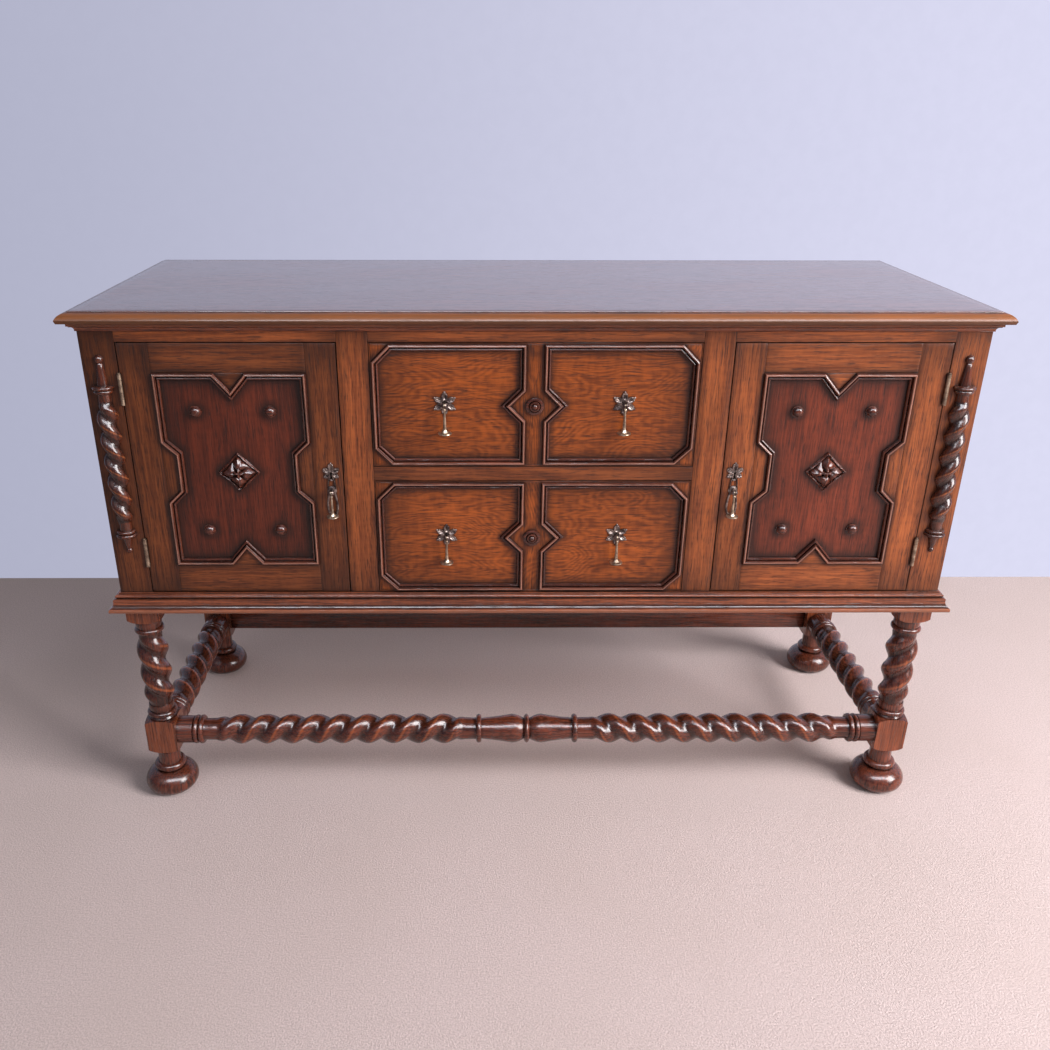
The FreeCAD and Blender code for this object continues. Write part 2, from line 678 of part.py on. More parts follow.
def hinge_cuts(side):
    """Room for the leaves, screws and knuckles in a stile (side 1) or a door (side -1)."""
    cuts = []
    for bottom in hinge_levels():
        cuts.append(leaf_plate(bottom, side))
        cuts += leaf_screws(bottom, side)
        cuts.append(hinge_rod(KNUCKLE_RADIUS + KNUCKLE_GAP, bottom - KNUCKLE_GAP,
                              bottom + HINGE_HEIGHT + KNUCKLE_GAP))
    return cuts


def hinge_pin(bottom):
    top = bottom + HINGE_HEIGHT
    head = KNUCKLE_GAP / 2
    shank = hinge_rod(PIN_RADIUS, bottom + head, top)
    knob = hinge_rod(PIN_HEAD_RADIUS, top - head, top - head + PIN_HEAD_HEIGHT)
    return joined([shank, knob])


def carcase_hinges():
    """The fixed leaves on the stiles, with the pins and screws."""
    parts = []
    for bottom in hinge_levels():
        parts += [hinge_leaf(bottom, 1), hinge_pin(bottom)] + leaf_screws(bottom, 1)
    keep("stile_hinges_right", parts)
    keep("stile_hinges_left", [mirrored(part) for part in parts])


# Locks

def lock_box():
    low = KEYHOLE_Z - LOCK_HEIGHT / 2 + KEYHOLE_DROP
    return box(DOOR_IN, DOOR_IN + LOCK_WIDTH, DOOR_THICK - LOCK_THICK, DOOR_THICK, low, low + LOCK_HEIGHT)


def bolt_bar(clearance, start, end):
    low = KEYHOLE_Z + KEYHOLE_DROP
    middle = DOOR_THICK - LOCK_THICK / 2
    half = BOLT_THICK / 2 + clearance
    return box(start, end, middle - half, middle + half, low - clearance, low + BOLT_HEIGHT + clearance)


def strike_mortise():
    depth = BOLT_THROW - DOOR_GAP + STRIKE_CLEARANCE
    return bolt_bar(STRIKE_CLEARANCE, MUNTIN_OUT - depth, MUNTIN_OUT)


def keyhole(y0, y1):
    """The round and the slot below it, between two depths."""
    top = rod(KEYHOLE_RADIUS, (PULL_X, y0, KEYHOLE_Z), (PULL_X, y1, KEYHOLE_Z))
    half = KEYHOLE_SLOT / 2
    slot = box(PULL_X - half, PULL_X + half, y0, y1, KEYHOLE_Z - KEYHOLE_DROP, KEYHOLE_Z)
    return joined([top, slot])


def lock_case():
    way = bolt_bar(BOLT_CLEARANCE, DOOR_IN, DOOR_IN + BOLT_LENGTH + BOLT_CLEARANCE)
    front = DOOR_THICK - LOCK_THICK
    return lock_box().cut([way, keyhole(front, DOOR_THICK - LOCK_THICK / 2)])


# Applied mouldings

def mould_section():
    """Double bead: an outer roll against the flush wood and a lower bead inside it."""
    roll = half_round(0, MOULD_ROLL, FIELD_RECESS, MOULD_HEIGHT)
    bead_base = FIELD_RECESS / 2
    bead = half_round(MOULD_ROLL, MOULD_WIDTH, bead_base, MOULD_BEAD_HEIGHT)
    return [(0, 0)] + roll + bead + [(MOULD_WIDTH, 0)]


def mitre_lines(outline):
    """For each corner, the step inwards along its mitre. The outline runs anticlockwise from the front."""
    normals = []
    for i, (x, z) in enumerate(outline):
        nx, nz = outline[(i + 1) % len(outline)]
        length = math.hypot(nx - x, nz - z)
        normals.append(((z - nz) / length, (nx - x) / length))
    lines = []
    for i, (ax, az) in enumerate(normals):
        bx, bz = normals[i - 1]
        share = 1 + ax * bx + az * bz
        lines.append(((ax + bx) / share, (az + bz) / share))
    return lines


def framed_moulding(outline):
    """Mitred lengths of the double bead, laid on the sunk field inside an outline."""
    section = mould_section()
    mitres = mitre_lines(outline)
    ends = []
    for (x, z), (mx, mz) in zip(outline, mitres):
        ends.append([V(x + u * mx, FIELD_RECESS - v, z + u * mz) for u, v in section])
    lengths = []
    for i, start in enumerate(ends):
        end = ends[(i + 1) % len(ends)]
        faces = [Part.Face(Part.makePolygon(start + start[:1])), Part.Face(Part.makePolygon(end + end[:1]))]
        for j, a in enumerate(start):
            k = (j + 1) % len(start)
            faces.append(Part.Face(Part.makePolygon([a, start[k], end[k], end[j], a])))
        lengths.append(Part.makeSolid(Part.makeShell(faces)))
    return lengths


# Doors

def door_outline():
    """Outer line of the door moulding, with V notches above and below and trapezoids at the sides."""
    left = DOOR_IN + DOOR_STILE_WIDTH
    right = DOOR_OUT - DOOR_STILE_WIDTH
    low = DOOR_BOTTOM + DOOR_BOTTOM_RAIL
    high = DOOR_TOP - DOOR_TOP_RAIL
    middle = (low + high) / 2
    inner = SIDE_NOTCH_INNER / 2
    outer = SIDE_NOTCH_OUTER / 2
    bottom_notch = [(DOOR_MIDDLE - NOTCH_HALF_WIDTH, low), (DOOR_MIDDLE, low + NOTCH_DEPTH),
                    (DOOR_MIDDLE + NOTCH_HALF_WIDTH, low)]
    right_notch = [(right, middle - outer), (right - SIDE_NOTCH_DEPTH, middle - inner),
                   (right - SIDE_NOTCH_DEPTH, middle + inner), (right, middle + outer)]
    top_notch = [(DOOR_MIDDLE + NOTCH_HALF_WIDTH, high), (DOOR_MIDDLE, high - NOTCH_DEPTH),
                 (DOOR_MIDDLE - NOTCH_HALF_WIDTH, high)]
    left_notch = [(left, middle + outer), (left + SIDE_NOTCH_DEPTH, middle + inner),
                  (left + SIDE_NOTCH_DEPTH, middle - inner), (left, middle - outer)]
    notches = [bottom_notch, right_notch, top_notch, left_notch]
    corners = [(right, low), (right, high), (left, high), (left, low)]
    outline = []
    for notch, corner in zip(notches, corners):
        outline += notch + [corner]
    return outline, notches


def door_panel():
    groove = PANEL_GROOVE
    return box(DOOR_IN + DOOR_STILE_WIDTH - groove, DOOR_OUT - DOOR_STILE_WIDTH + groove,
               FIELD_RECESS, FIELD_RECESS + PANEL_THICK,
               DOOR_BOTTOM + DOOR_BOTTOM_RAIL - groove, DOOR_TOP - DOOR_TOP_RAIL + groove)


def lozenge(x, z):
    """Raised rim round a low pyramid."""
    def square(half, y0, y1):
        corners = [(x, z - half), (x + half, z), (x, z + half), (x - half, z)]
        return upright(corners, y0, y1)

    back = FIELD_RECESS
    face = back - LOZENGE_BASE
    inner = LOZENGE_HALF - LOZENGE_RIM
    rim = square(LOZENGE_HALF, face - LOZENGE_BASE, face).cut(square(inner, face - LOZENGE_BASE, face))
    base = square(LOZENGE_HALF, face, back)
    tip = V(x, back - LOZENGE_PEAK, z)
    corners = [V(x, face, z - inner), V(x + inner, face, z), V(x, face, z + inner), V(x - inner, face, z)]
    faces = [Part.Face(Part.makePolygon(corners + corners[:1]))]
    for i, corner in enumerate(corners):
        faces.append(Part.Face(Part.makePolygon([corners[i - 1], corner, tip, corners[i - 1]])))
    pyramid = Part.makeSolid(Part.makeShell(faces))
    return joined([base, rim, pyramid])


def facing(shape, x, y, z):
    """Turns a Z-axis shape to stand out of a face towards the viewer, with its foot on depth y."""
    turned_out = shape.copy()
    turned_out.rotate(V(0, 0, 0), V(1, 0, 0), 90)
    turned_out.translate(V(x, y, z))
    return turned_out


def stud():
    lip = 0.25 * STUD_HEIGHT
    return turned([(0, STUD_RADIUS), (lip, STUD_RADIUS), (lip, 0.86 * STUD_RADIUS),
                   (STUD_HEIGHT, 0.2 * STUD_RADIUS, 0.74 * STUD_RADIUS)], 0)


def boss():
    """Bullseye: two rings and a centre bead."""
    r = BOSS_RADIUS
    h = BOSS_HEIGHT
    return turned([(0, r), (0.35 * h, r), (0.45 * h, 0.7 * r, 0.9 * r), (0.3 * h, 0.62 * r),
                   (0.7 * h, 0.55 * r), (0.72 * h, 0.4 * r), (0.55 * h, 0.34 * r), (h, 0.1 * r, 0.3 * r)], 0)


def door():
    """The pieces of the right-hand door, in node name order."""
    outline, notches = door_outline()
    panel = door_panel()
    lock = lock_box()
    inner = DOOR_IN + DOOR_STILE_WIDTH
    outer = DOOR_OUT - DOOR_STILE_WIDTH
    rails = []
    mortises = []
    for z0, z1 in ((DOOR_BOTTOM, DOOR_BOTTOM + DOOR_BOTTOM_RAIL), (DOOR_TOP - DOOR_TOP_RAIL, DOOR_TOP)):
        rail, tenons = cross_rail(inner, outer, 0, DOOR_THICK, z0, z1)
        rails.append(rail.cut(panel))
        mortises += [peg.cut(panel) for peg in tenons]
    through = [keyhole(0, DOOR_THICK - LOCK_THICK), pull_bolt_way()]
    lock_stile = box(DOOR_IN, inner, 0, DOOR_THICK, DOOR_BOTTOM, DOOR_TOP)
    lock_stile = lock_stile.cut([panel, lock, mortises[0], mortises[2]] + through)
    hinge_stile = box(outer, DOOR_OUT, 0, DOOR_THICK, DOOR_BOTTOM, DOOR_TOP)
    hinge_stile = hinge_stile.cut([panel, mortises[1], mortises[3]] + hinge_cuts(-1))
    fillets = [upright(notch, 0, FIELD_RECESS) for notch in notches]
    leaves = []
    for bottom in hinge_levels():
        leaves.append(hinge_leaf(bottom, -1))
        leaves += leaf_screws(bottom, -1)
    low = DOOR_BOTTOM + DOOR_BOTTOM_RAIL
    high = DOOR_TOP - DOOR_TOP_RAIL
    bosses = [lozenge(DOOR_MIDDLE, (low + high) / 2)]
    for x in (inner + STUD_INSET_X, outer - STUD_INSET_X):
        for z in (low + STUD_INSET_Z, high - STUD_INSET_Z):
            bosses.append(facing(stud(), x, FIELD_RECESS, z))
    bolt = bolt_bar(0, DOOR_IN, DOOR_IN + BOLT_LENGTH)
    return {
        "frame": [lock_stile, hinge_stile] + rails + fillets,
        "panel": [panel],
        "moulding": framed_moulding(outline),
        "bosses": bosses,
        "hinge_leaves": leaves,
        "lock": [lock_case()],
        "lock_bolt": [bolt],
        "pull_plate": pull_plate(),
        "pull_drop": [drop_at(PULL_X, -PULL_PIVOT_STAND, PULL_Z, PULL_DROP_LENGTH, PULL_FOOT_RADIUS)],
    }


def doors():
    pieces = door()
    for part, shapes in pieces.items():
        keep("door_right_" + part, shapes)
        keep("door_left_" + part, [mirrored(shape) for shape in shapes])


# Drop handles and door pulls

def star(radius, waist, x, z, y0, y1):
    """A plate of pointed petals round a middle, one petal upright."""
    points = []
    for i in range(2 * PETALS):
        angle = math.pi / 2 + math.pi * i / PETALS
        reach = radius if i % 2 == 0 else waist
        points.append((x + reach * math.cos(angle), z + reach * math.sin(angle)))
    return upright(points, y0, y1)


def headed_bolt(x, pivot, back, z):
    """Bolt with a slotted ball head in front, through to a nut behind the wood."""
    slot_end = pivot + TONGUE_RADIUS + RUNNING_GAP
    shank = rod(POST_RADIUS, (x, pivot, z), (x, back + NUT_THICK, z))
    ball = Part.makeSphere(HEAD_RADIUS, V(x, pivot, z))
    reach = 2 * HEAD_RADIUS
    slot = box(x - HEAD_SLOT / 2, x + HEAD_SLOT / 2, pivot - reach, slot_end, z - reach, z + reach)
    bore = rod(PIVOT_RADIUS, (x - reach, pivot, z), (x + reach, pivot, z))
    half = math.sqrt(HEAD_RADIUS ** 2 - PIVOT_RADIUS ** 2)
    pin = rod(PIVOT_RADIUS, (x - half, pivot, z), (x + half, pivot, z))
    hexagon = []
    for i in range(6):
        angle = math.pi * i / 3
        hexagon.append((x + NUT_RADIUS * math.cos(angle), z + NUT_RADIUS * math.sin(angle)))
    nut = upright(hexagon, back, back + NUT_THICK).cut(shank)
    return [joined([shank, ball]).cut([slot, bore]), pin, nut]


def drop_at(x, y, z, length, foot_radius):
    """Drop on a pivot at (x, y, z): flat eye, slender stem, disc foot and a small tip."""
    eye = rod(TONGUE_RADIUS, (-TONGUE_THICK / 2, 0, 0), (TONGUE_THICK / 2, 0, 0))
    shoulder = DROP_SHOULDER
    neck = box(-TONGUE_THICK / 2, TONGUE_THICK / 2, -DROP_STEM_RADIUS, DROP_STEM_RADIUS, -shoulder, 0)
    r = foot_radius
    stem = DROP_STEM_RADIUS
    tip = 0.4 * r
    profile = [(-length - tip, 0.1 * r), (-length - 0.15 * r, 0.15 * r, 0.25 * r), (-length, r, 0.75 * r),
               (-length + 0.15 * r, 0.96 * r), (-length + 0.2 * r, 0.55 * r),
               (-length + 0.7 * r, 0.26 * r, 0.36 * r), (-shoulder - DROP_BEAD_HEIGHT, stem),
               (-shoulder, 1.5 * stem, 1.5 * stem), (-shoulder + DROP_BEAD_HEIGHT / 2, 1.2 * stem)]
    body = turned(profile, -length - tip)
    bore = rod(PIVOT_RADIUS + PIVOT_CLEARANCE, (-TONGUE_THICK, 0, 0), (TONGUE_THICK, 0, 0))
    return moved(joined([eye, neck, body]).cut(bore), x, y, z)


def pull_bolt_way():
    return rod(POST_RADIUS, (PULL_X, -PULL_PIVOT_STAND, PULL_Z), (PULL_X, DOOR_THICK, PULL_Z))


def ellipse_plate(x, z, half_width, half_height):
    big = max(half_width, half_height)
    small = min(half_width, half_height)
    curve = Part.Ellipse(V(0, 0, 0), big, small).toShape()
    face = Part.Face(Part.Wire(curve))
    plate = face.extrude(V(0, 0, PLATE_THICK))
    if half_height > half_width:
        plate.rotate(V(0, 0, 0), V(0, 0, 1), 90)
    return facing(plate, x, 0, z)


def pull_plate():
    """Cast plate: petals round the keyhole, a neck, an open loop and a boss for the drop."""
    star_z = PULL_Z + PULL_STAR_RISE
    loop_z = PULL_Z - PULL_LOOP_DROP
    petals = star(PULL_STAR_RADIUS, PULL_STAR_WAIST, PULL_X, star_z, -PLATE_THICK, 0)
    neck = box(PULL_X - PULL_NECK_WIDTH / 2, PULL_X + PULL_NECK_WIDTH / 2, -PLATE_THICK, 0, PULL_Z, star_z)
    half_width = PULL_LOOP_HALF_WIDTH
    half_height = PULL_LOOP_HALF_HEIGHT
    outer = ellipse_plate(PULL_X, loop_z, half_width, half_height)
    hole = ellipse_plate(PULL_X, loop_z, half_width - PULL_LOOP_BAR, half_height - PULL_LOOP_BAR)
    seat = rod(PULL_BOSS_RADIUS, (PULL_X, -PLATE_THICK, PULL_Z), (PULL_X, 0, PULL_Z))
    plate = joined([petals, neck, outer.cut(hole), seat])
    plate = plate.cut([keyhole(-PLATE_THICK, 0), pull_bolt_way()])
    return [plate] + headed_bolt(PULL_X, -PULL_PIVOT_STAND, DOOR_THICK, PULL_Z)


# Drawers

def drawer_space(level):
    """Bottom and top of a drawer opening: level 0 is the lower drawer, 1 the upper."""
    low = SILL + level * (DRAWER_SPACE + DRAWER_RAIL_HEIGHT)
    return low, low + DRAWER_SPACE


def panel_outline(low, high):
    """Moulding line of the right-hand panel of a drawer front: cut outer corners, V on the inner side."""
    left = BAND_HALF_WIDTH
    right = MUNTIN_IN - DRAWER_GAP - FRONT_MARGIN
    middle = (low + high) / 2
    return [(left, low), (right - CORNER_CUT, low), (right, low + CORNER_CUT), (right, high - CORNER_CUT),
            (right - CORNER_CUT, high), (left, high), (left, middle + BAND_POINT),
            (left + BAND_POINT, middle), (left, middle - BAND_POINT)]


def mirrored_outline(outline):
    return [(-x, z) for x, z in reversed(outline)]


def drawer_front(low, high):
    """Front board with the flush corner pieces and the diamond band that stand on it."""
    half = MUNTIN_IN - DRAWER_GAP
    back = FIELD_RECESS + DRAWER_FRONT_THICK
    board = box(-half, half, FIELD_RECESS, back, low, high)
    lap = back - DRAWER_LAP
    ends = pair(box(half - DRAWER_SIDE_THICK, half, lap, back, low, high))
    edge = half - FRONT_MARGIN
    corners = []
    for z, up in ((low + FRONT_MARGIN, 1), (high - FRONT_MARGIN, -1)):
        corner = [(edge - CORNER_CUT, z), (edge, z), (edge, z + up * CORNER_CUT)]
        corners += pair(upright(corner, 0, FIELD_RECESS))
    border_top = high - FRONT_MARGIN
    border_low = low + FRONT_MARGIN
    right_side = panel_outline(border_low, border_top)
    inner_side = [right_side[5], right_side[6], right_side[7], right_side[8], right_side[0]]
    band = upright(inner_side + mirrored_outline(inner_side), 0, FIELD_RECESS)
    strips = pair(box(edge, half, 0, FIELD_RECESS, border_low, border_top))
    for z0, z1 in ((low, border_low), (border_top, high)):
        strips.append(box(-half, half, 0, FIELD_RECESS, z0, z1))
    return board.cut(ends), corners + [band] + strips


def drawer(level):
    low, high = drawer_space(level)
    front_low = low + DRAWER_GAP
    front_high = high - DRAWER_GAP
    half = MUNTIN_IN - DRAWER_GAP
    inner = half - DRAWER_SIDE_THICK
    back = FIELD_RECESS + DRAWER_FRONT_THICK
    side_low = low + RUNNING_GAP
    side_high = high - KICKER_GAP
    floor = side_low + DRAWER_BOTTOM_LIFT
    bottom = box(-inner - DRAWER_GROOVE, inner + DRAWER_GROOVE, back - DRAWER_GROOVE, DRAWER_REAR,
                 floor, floor + DRAWER_BOTTOM_THICK)
    side = box(inner, half, back - DRAWER_LAP, DRAWER_REAR, side_low, side_high)
    rear = box(-inner, inner, DRAWER_REAR - DRAWER_SIDE_THICK, DRAWER_REAR,
               floor + DRAWER_BOTTOM_THICK, side_high - DRAWER_SIDE_THICK)
    board, applied = drawer_front(front_low, front_high)
    middle = (front_low + front_high) / 2
    handle_z = middle + HANDLE_RISE
    pivot = FIELD_RECESS - DRAWER_PIVOT_STAND
    bores = []
    plates = []
    for x in (-HANDLE_SPREAD, HANDLE_SPREAD):
        bore = rod(POST_RADIUS, (x, pivot, handle_z), (x, back, handle_z))
        bores.append(bore)
        plate = star(STAR_RADIUS, STAR_WAIST, x, handle_z, FIELD_RECESS - PLATE_THICK, FIELD_RECESS)
        plates.append(plate.cut(bore))
        plates += headed_bolt(x, pivot, back, handle_z)
    name = "drawer_upper_" if level else "drawer_lower_"
    keep(name + "front", [board.cut([bottom] + bores)] + applied)
    keep(name + "box", pair(side.cut(bottom)) + [rear, bottom])
    outline = panel_outline(front_low + FRONT_MARGIN, front_high - FRONT_MARGIN)
    keep(name + "moulding", framed_moulding(outline) + framed_moulding(mirrored_outline(outline)))
    keep(name + "boss", facing(boss(), 0, 0, middle))
    keep(name + "handle_plates", plates)
    for side_name, x in (("left", -HANDLE_SPREAD), ("right", HANDLE_SPREAD)):
        keep(name + "drop_" + side_name, drop_at(x, pivot, handle_z, DRAWER_DROP_LENGTH, DRAWER_FOOT_RADIUS))


# Stand

def leg_block(bottom, top, round_bottom, round_top):
    """Square block whose ends are cut to rounded shoulders on the lathe."""
    corner = BLOCK / math.sqrt(2) + OVERCUT
    bulge = SHOULDER_RADIUS + 0.7 * (corner - SHOULDER_RADIUS)
    profile = [(bottom, SHOULDER_RADIUS), (bottom + SHOULDER, corner, bulge)]
    if not round_bottom:
        profile = [(bottom, corner)]
    if round_top:
        profile += [(top - SHOULDER, corner), (top, SHOULDER_RADIUS, bulge)]
    else:
        profile.append((top, corner))
    half = BLOCK / 2
    return box(-half, half, -half, half, bottom, top).common(turned(profile, bottom))


def ring(bottom, top, foot, crest):
    """Steps of a turned ring between two heights."""
    return [(bottom, foot), (top, foot, crest)]


def stand_twist(plain, bottom, top, hand):
    """Twist of the size that all legs and stretchers share."""
    return twist(TWIST_RADIUS, TWIST_HOLLOW, TWIST_NECK, TWIST_PITCH, TWIST_FADE, plain, bottom, top, hand)


def leg(hand):
    """A leg on the Z axis: bun foot, stretcher block, twist and top block with a tenon."""
    block_low = STRETCHER_LEVEL - STRETCHER_BLOCK / 2
    block_high = STRETCHER_LEVEL + STRETCHER_BLOCK / 2
    top_low = STAND_HEIGHT - TOP_BLOCK_HEIGHT
    collar_high = BUN_HEIGHT + ANKLE_COLLAR_HEIGHT
    ankle_middle = 0.94 * ANKLE_RADIUS
    foot = [(0, BUN_SOLE_RADIUS), (0.5 * BUN_HEIGHT, BUN_RADIUS, 0.96 * BUN_RADIUS),
            (BUN_HEIGHT, 0.5 * BUN_RADIUS, 0.9 * BUN_RADIUS)]
    foot += ring(BUN_HEIGHT, collar_high, ANKLE_RADIUS, ANKLE_COLLAR_RADIUS)
    foot += [(block_low - SHOULDER / 2, ANKLE_RADIUS, ankle_middle), (block_low + SINK, SHOULDER_RADIUS)]
    ring_low = block_high + SHOULDER / 2
    ring_high = ring_low + RING_HEIGHT
    twist_low = ring_high + LEG_COVE
    rings = [(block_high - SINK, SHOULDER_RADIUS)] + ring(ring_low, ring_high, RING_FOOT, RING_RADIUS)
    rings += ring(ring_high, twist_low, RING_FOOT, COVE_RADIUS)
    twist_high = top_low - LEG_HEAD
    cove_low = twist_high + RING_HEIGHT
    head = ring(twist_high, cove_low, RING_FOOT, COLLAR_RADIUS)
    head += [(top_low, RING_FOOT, COVE_RADIUS), (top_low + SINK, SHOULDER_RADIUS)]
    peg = rod(LEG_TENON_RADIUS, (0, 0, STAND_HEIGHT - SINK), (0, 0, STAND_HEIGHT + LEG_TENON_LENGTH))
    lengths = [turned(foot, 0), leg_block(block_low, block_high, True, True),
               turned(rings, block_high - SINK), stand_twist(TWIST_NECK_LENGTH, twist_low, twist_high, hand),
               turned(head, twist_high), leg_block(top_low, STAND_HEIGHT, True, False), peg]
    return joined(lengths)


def block_socket(x_way, y_way):
    """Hole in a leg block for the round tenon of a stretcher, along X or Y."""
    outer = BLOCK / 2
    inner = outer - STRETCHER_TENON_LENGTH - GLUE_GAP
    r = STRETCHER_TENON_RADIUS + GLUE_GAP
    z = STRETCHER_LEVEL
    return rod(r, (x_way * inner, y_way * inner, z), (x_way * outer, y_way * outer, z))


def rear_rail_tenon(x0, x1):
    half = REAR_RAIL_THICK / 2
    reach = STRETCHER_BLOCK / 2 - REAR_RAIL_MARGIN
    low = STRETCHER_LEVEL - reach
    return tenon(x0, x1, LEG_REAR_Y - half, LEG_REAR_Y + half, low, low + 2 * reach)


def legs():
    """The left legs are wound one way and the right legs are their mirror images."""
    blank = leg(-1)
    front = moved(blank.cut([block_socket(1, 0), block_socket(0, 1)]), -LEG_X, LEG_FRONT_Y, 0)
    inner = BLOCK / 2 - LEG_X
    rear = moved(blank.cut(block_socket(0, -1)), -LEG_X, LEG_REAR_Y, 0)
    rear = rear.cut(rear_rail_tenon(inner - STRETCHER_TENON_LENGTH, inner))
    keep("leg_front_left", front)
    keep("leg_front_right", mirrored(front))
    keep("leg_rear_left", rear)
    keep("leg_rear_right", mirrored(rear))


def stretcher_end(end):
    """Where a twist stops short of a leg, and the turned end there: two rings, a cylinder, a tenon."""
    start = end - STRETCHER_END_LENGTH - 2 * RING_HEIGHT
    middle = start + RING_HEIGHT
    last = middle + RING_HEIGHT
    steps = ring(start, middle, RING_FOOT, RING_RADIUS) + ring(middle, last, RING_FOOT, RING_RADIUS)
    steps += [(last, STRETCHER_END_RADIUS), (end, STRETCHER_END_RADIUS)]
    steps += [(end, STRETCHER_TENON_RADIUS), (end + STRETCHER_TENON_LENGTH, STRETCHER_TENON_RADIUS)]
    return start, turned(steps, start)


def front_stretcher():
    """Two mirrored twists either side of a pair of vases."""
    twist_end, end = stretcher_end(LEG_X - BLOCK / 2)
    vase_end = VASE_LENGTH + RING_HEIGHT
    swell = VASE_NECK + 0.7 * (VASE_RADIUS - VASE_NECK)
    taper = VASE_NECK + 0.4 * (VASE_RADIUS - VASE_NECK)
    crest = VASE_NECK + 0.8 * (RING_RADIUS - VASE_NECK)
    middle = [(0, RING_RADIUS), (RING_HEIGHT / 2, VASE_NECK, crest), (VASE_MIDDLE, VASE_RADIUS, swell),
              (VASE_LENGTH, VASE_NECK, taper)]
    middle += ring(VASE_LENGTH, vase_end, RING_FOOT, RING_RADIUS)
    wound = stand_twist(STRETCHER_NECK_LENGTH, vase_end, twist_end, 1)
    right = along_x(joined([turned(middle, 0), wound, end]))
    keep("stretcher_front", moved(joined([right, mirrored(right)]), 0, LEG_FRONT_Y, STRETCHER_LEVEL))


def side_stretchers():
    reach, rear = stretcher_end((LEG_REAR_Y - LEG_FRONT_Y - BLOCK) / 2)
    front = rear.mirror(V(0, 0, 0), V(0, 0, 1))
    wound = stand_twist(TWIST_NECK_LENGTH, -reach, reach, -1)
    whole = along_y(joined([front, wound, rear]))
    left = moved(whole, -LEG_X, (LEG_FRONT_Y + LEG_REAR_Y) / 2, STRETCHER_LEVEL)
    keep("stretcher_left", left)
    keep("stretcher_right", mirrored(left))


def rear_stretcher():
    end = LEG_X - BLOCK / 2
    half = REAR_RAIL_THICK / 2
    low = STRETCHER_LEVEL - STRETCHER_BLOCK / 2 + REAR_RAIL_MARGIN
    high = STRETCHER_LEVEL + STRETCHER_BLOCK / 2 - REAR_RAIL_MARGIN
    rail = box(-end, end, LEG_REAR_Y - half, LEG_REAR_Y + half, low, high)
    peg = rear_rail_tenon(end, end + STRETCHER_TENON_LENGTH)
    keep("stretcher_rear", joined([rail, peg, mirrored(peg)]))


# Split turnings

def split_turning(hand):
    """A turned twist with a finial at each end, sawn in half along its length and glued to a stile."""
    top = CARCASE_TOP - SPLIT_TOP
    bottom = top - SPLIT_LENGTH
    high_collar = top - SPLIT_FINIAL
    low_collar = bottom + SPLIT_TAIL
    b = SPLIT_BALL_RADIUS
    t = SPLIT_TIP_RADIUS
    c = SPLIT_COLLAR_RADIUS
    h = SPLIT_COLLAR_HEIGHT
    ball = 1.85 * b
    fillet = 0.3 * b
    low = [(bottom, 0.3 * t), (bottom + 1.6 * t, 0.8 * t, t), (low_collar - h, SPLIT_CONE_RADIUS)]
    low += ring(low_collar - h, low_collar - h / 2, 0.86 * c, c)
    low += ring(low_collar - h / 2, low_collar, 0.76 * c, 0.9 * c)
    high = ring(high_collar, high_collar + h / 2, 0.76 * c, 0.9 * c)
    high += ring(high_collar + h / 2, high_collar + h, 0.86 * c, c)
    high += [(high_collar + h, SPLIT_CONE_RADIUS), (top - ball - fillet, 0.75 * b), (top - ball, 0.6 * b)]
    high += [(top, 0.3 * b, b)]
    wound = twist(SPLIT_TWIST_RADIUS, SPLIT_HOLLOW, SPLIT_NECK, SPLIT_PITCH, SPLIT_FADE, SPLIT_PLAIN,
                  low_collar, high_collar, hand)
    reach = 2 * c
    whole = joined([turned(low, bottom), wound, turned(high, high_collar)])
    half = whole.common(box(-reach, reach, -reach, 0, bottom, top))
    return moved(half, -HALF_CARCASE + STILE_WIDTH / 2, 0, 0)


def split_turnings():
    left = split_turning(-1)
    keep("split_turnings", pair(left))


def write_pieces():
    os.makedirs("parts", exist_ok=True)
    for name, shapes in PIECES.items():
        solids = []
        for shape in shapes:
            placed = moved(shape, 0, FRONT_SHIFT, 0)
            for solid in placed.Solids:
                if not solid.isValid() or solid.Volume <= 0:
                    print("check", name, solid.isValid(), solid.Volume)
                solids.append(solid)
        if len(solids) != len(shapes):
            print("check", name, len(shapes), "shapes gave", len(solids), "solids")
        whole = solids[0] if len(solids) == 1 else Part.makeCompound(solids)
        whole.exportStep("parts/" + name + ".step")


def main():
    top_board()
    carcase_mouldings()
    carcase_frame()
    carcase_inside()
    drawer_runners()
    carcase_hinges()
    doors()
    for level in (0, 1):
        drawer(level)
    legs()
    front_stretcher()
    side_stretchers()
    rear_stretcher()
    split_turnings()
    write_pieces()
    print(len(PIECES), "nodes")


main()
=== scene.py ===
import json
import math
import random

import bmesh
import bpy
import numpy as np
from mathutils import Matrix, Vector
from mathutils.kdtree import KDTree

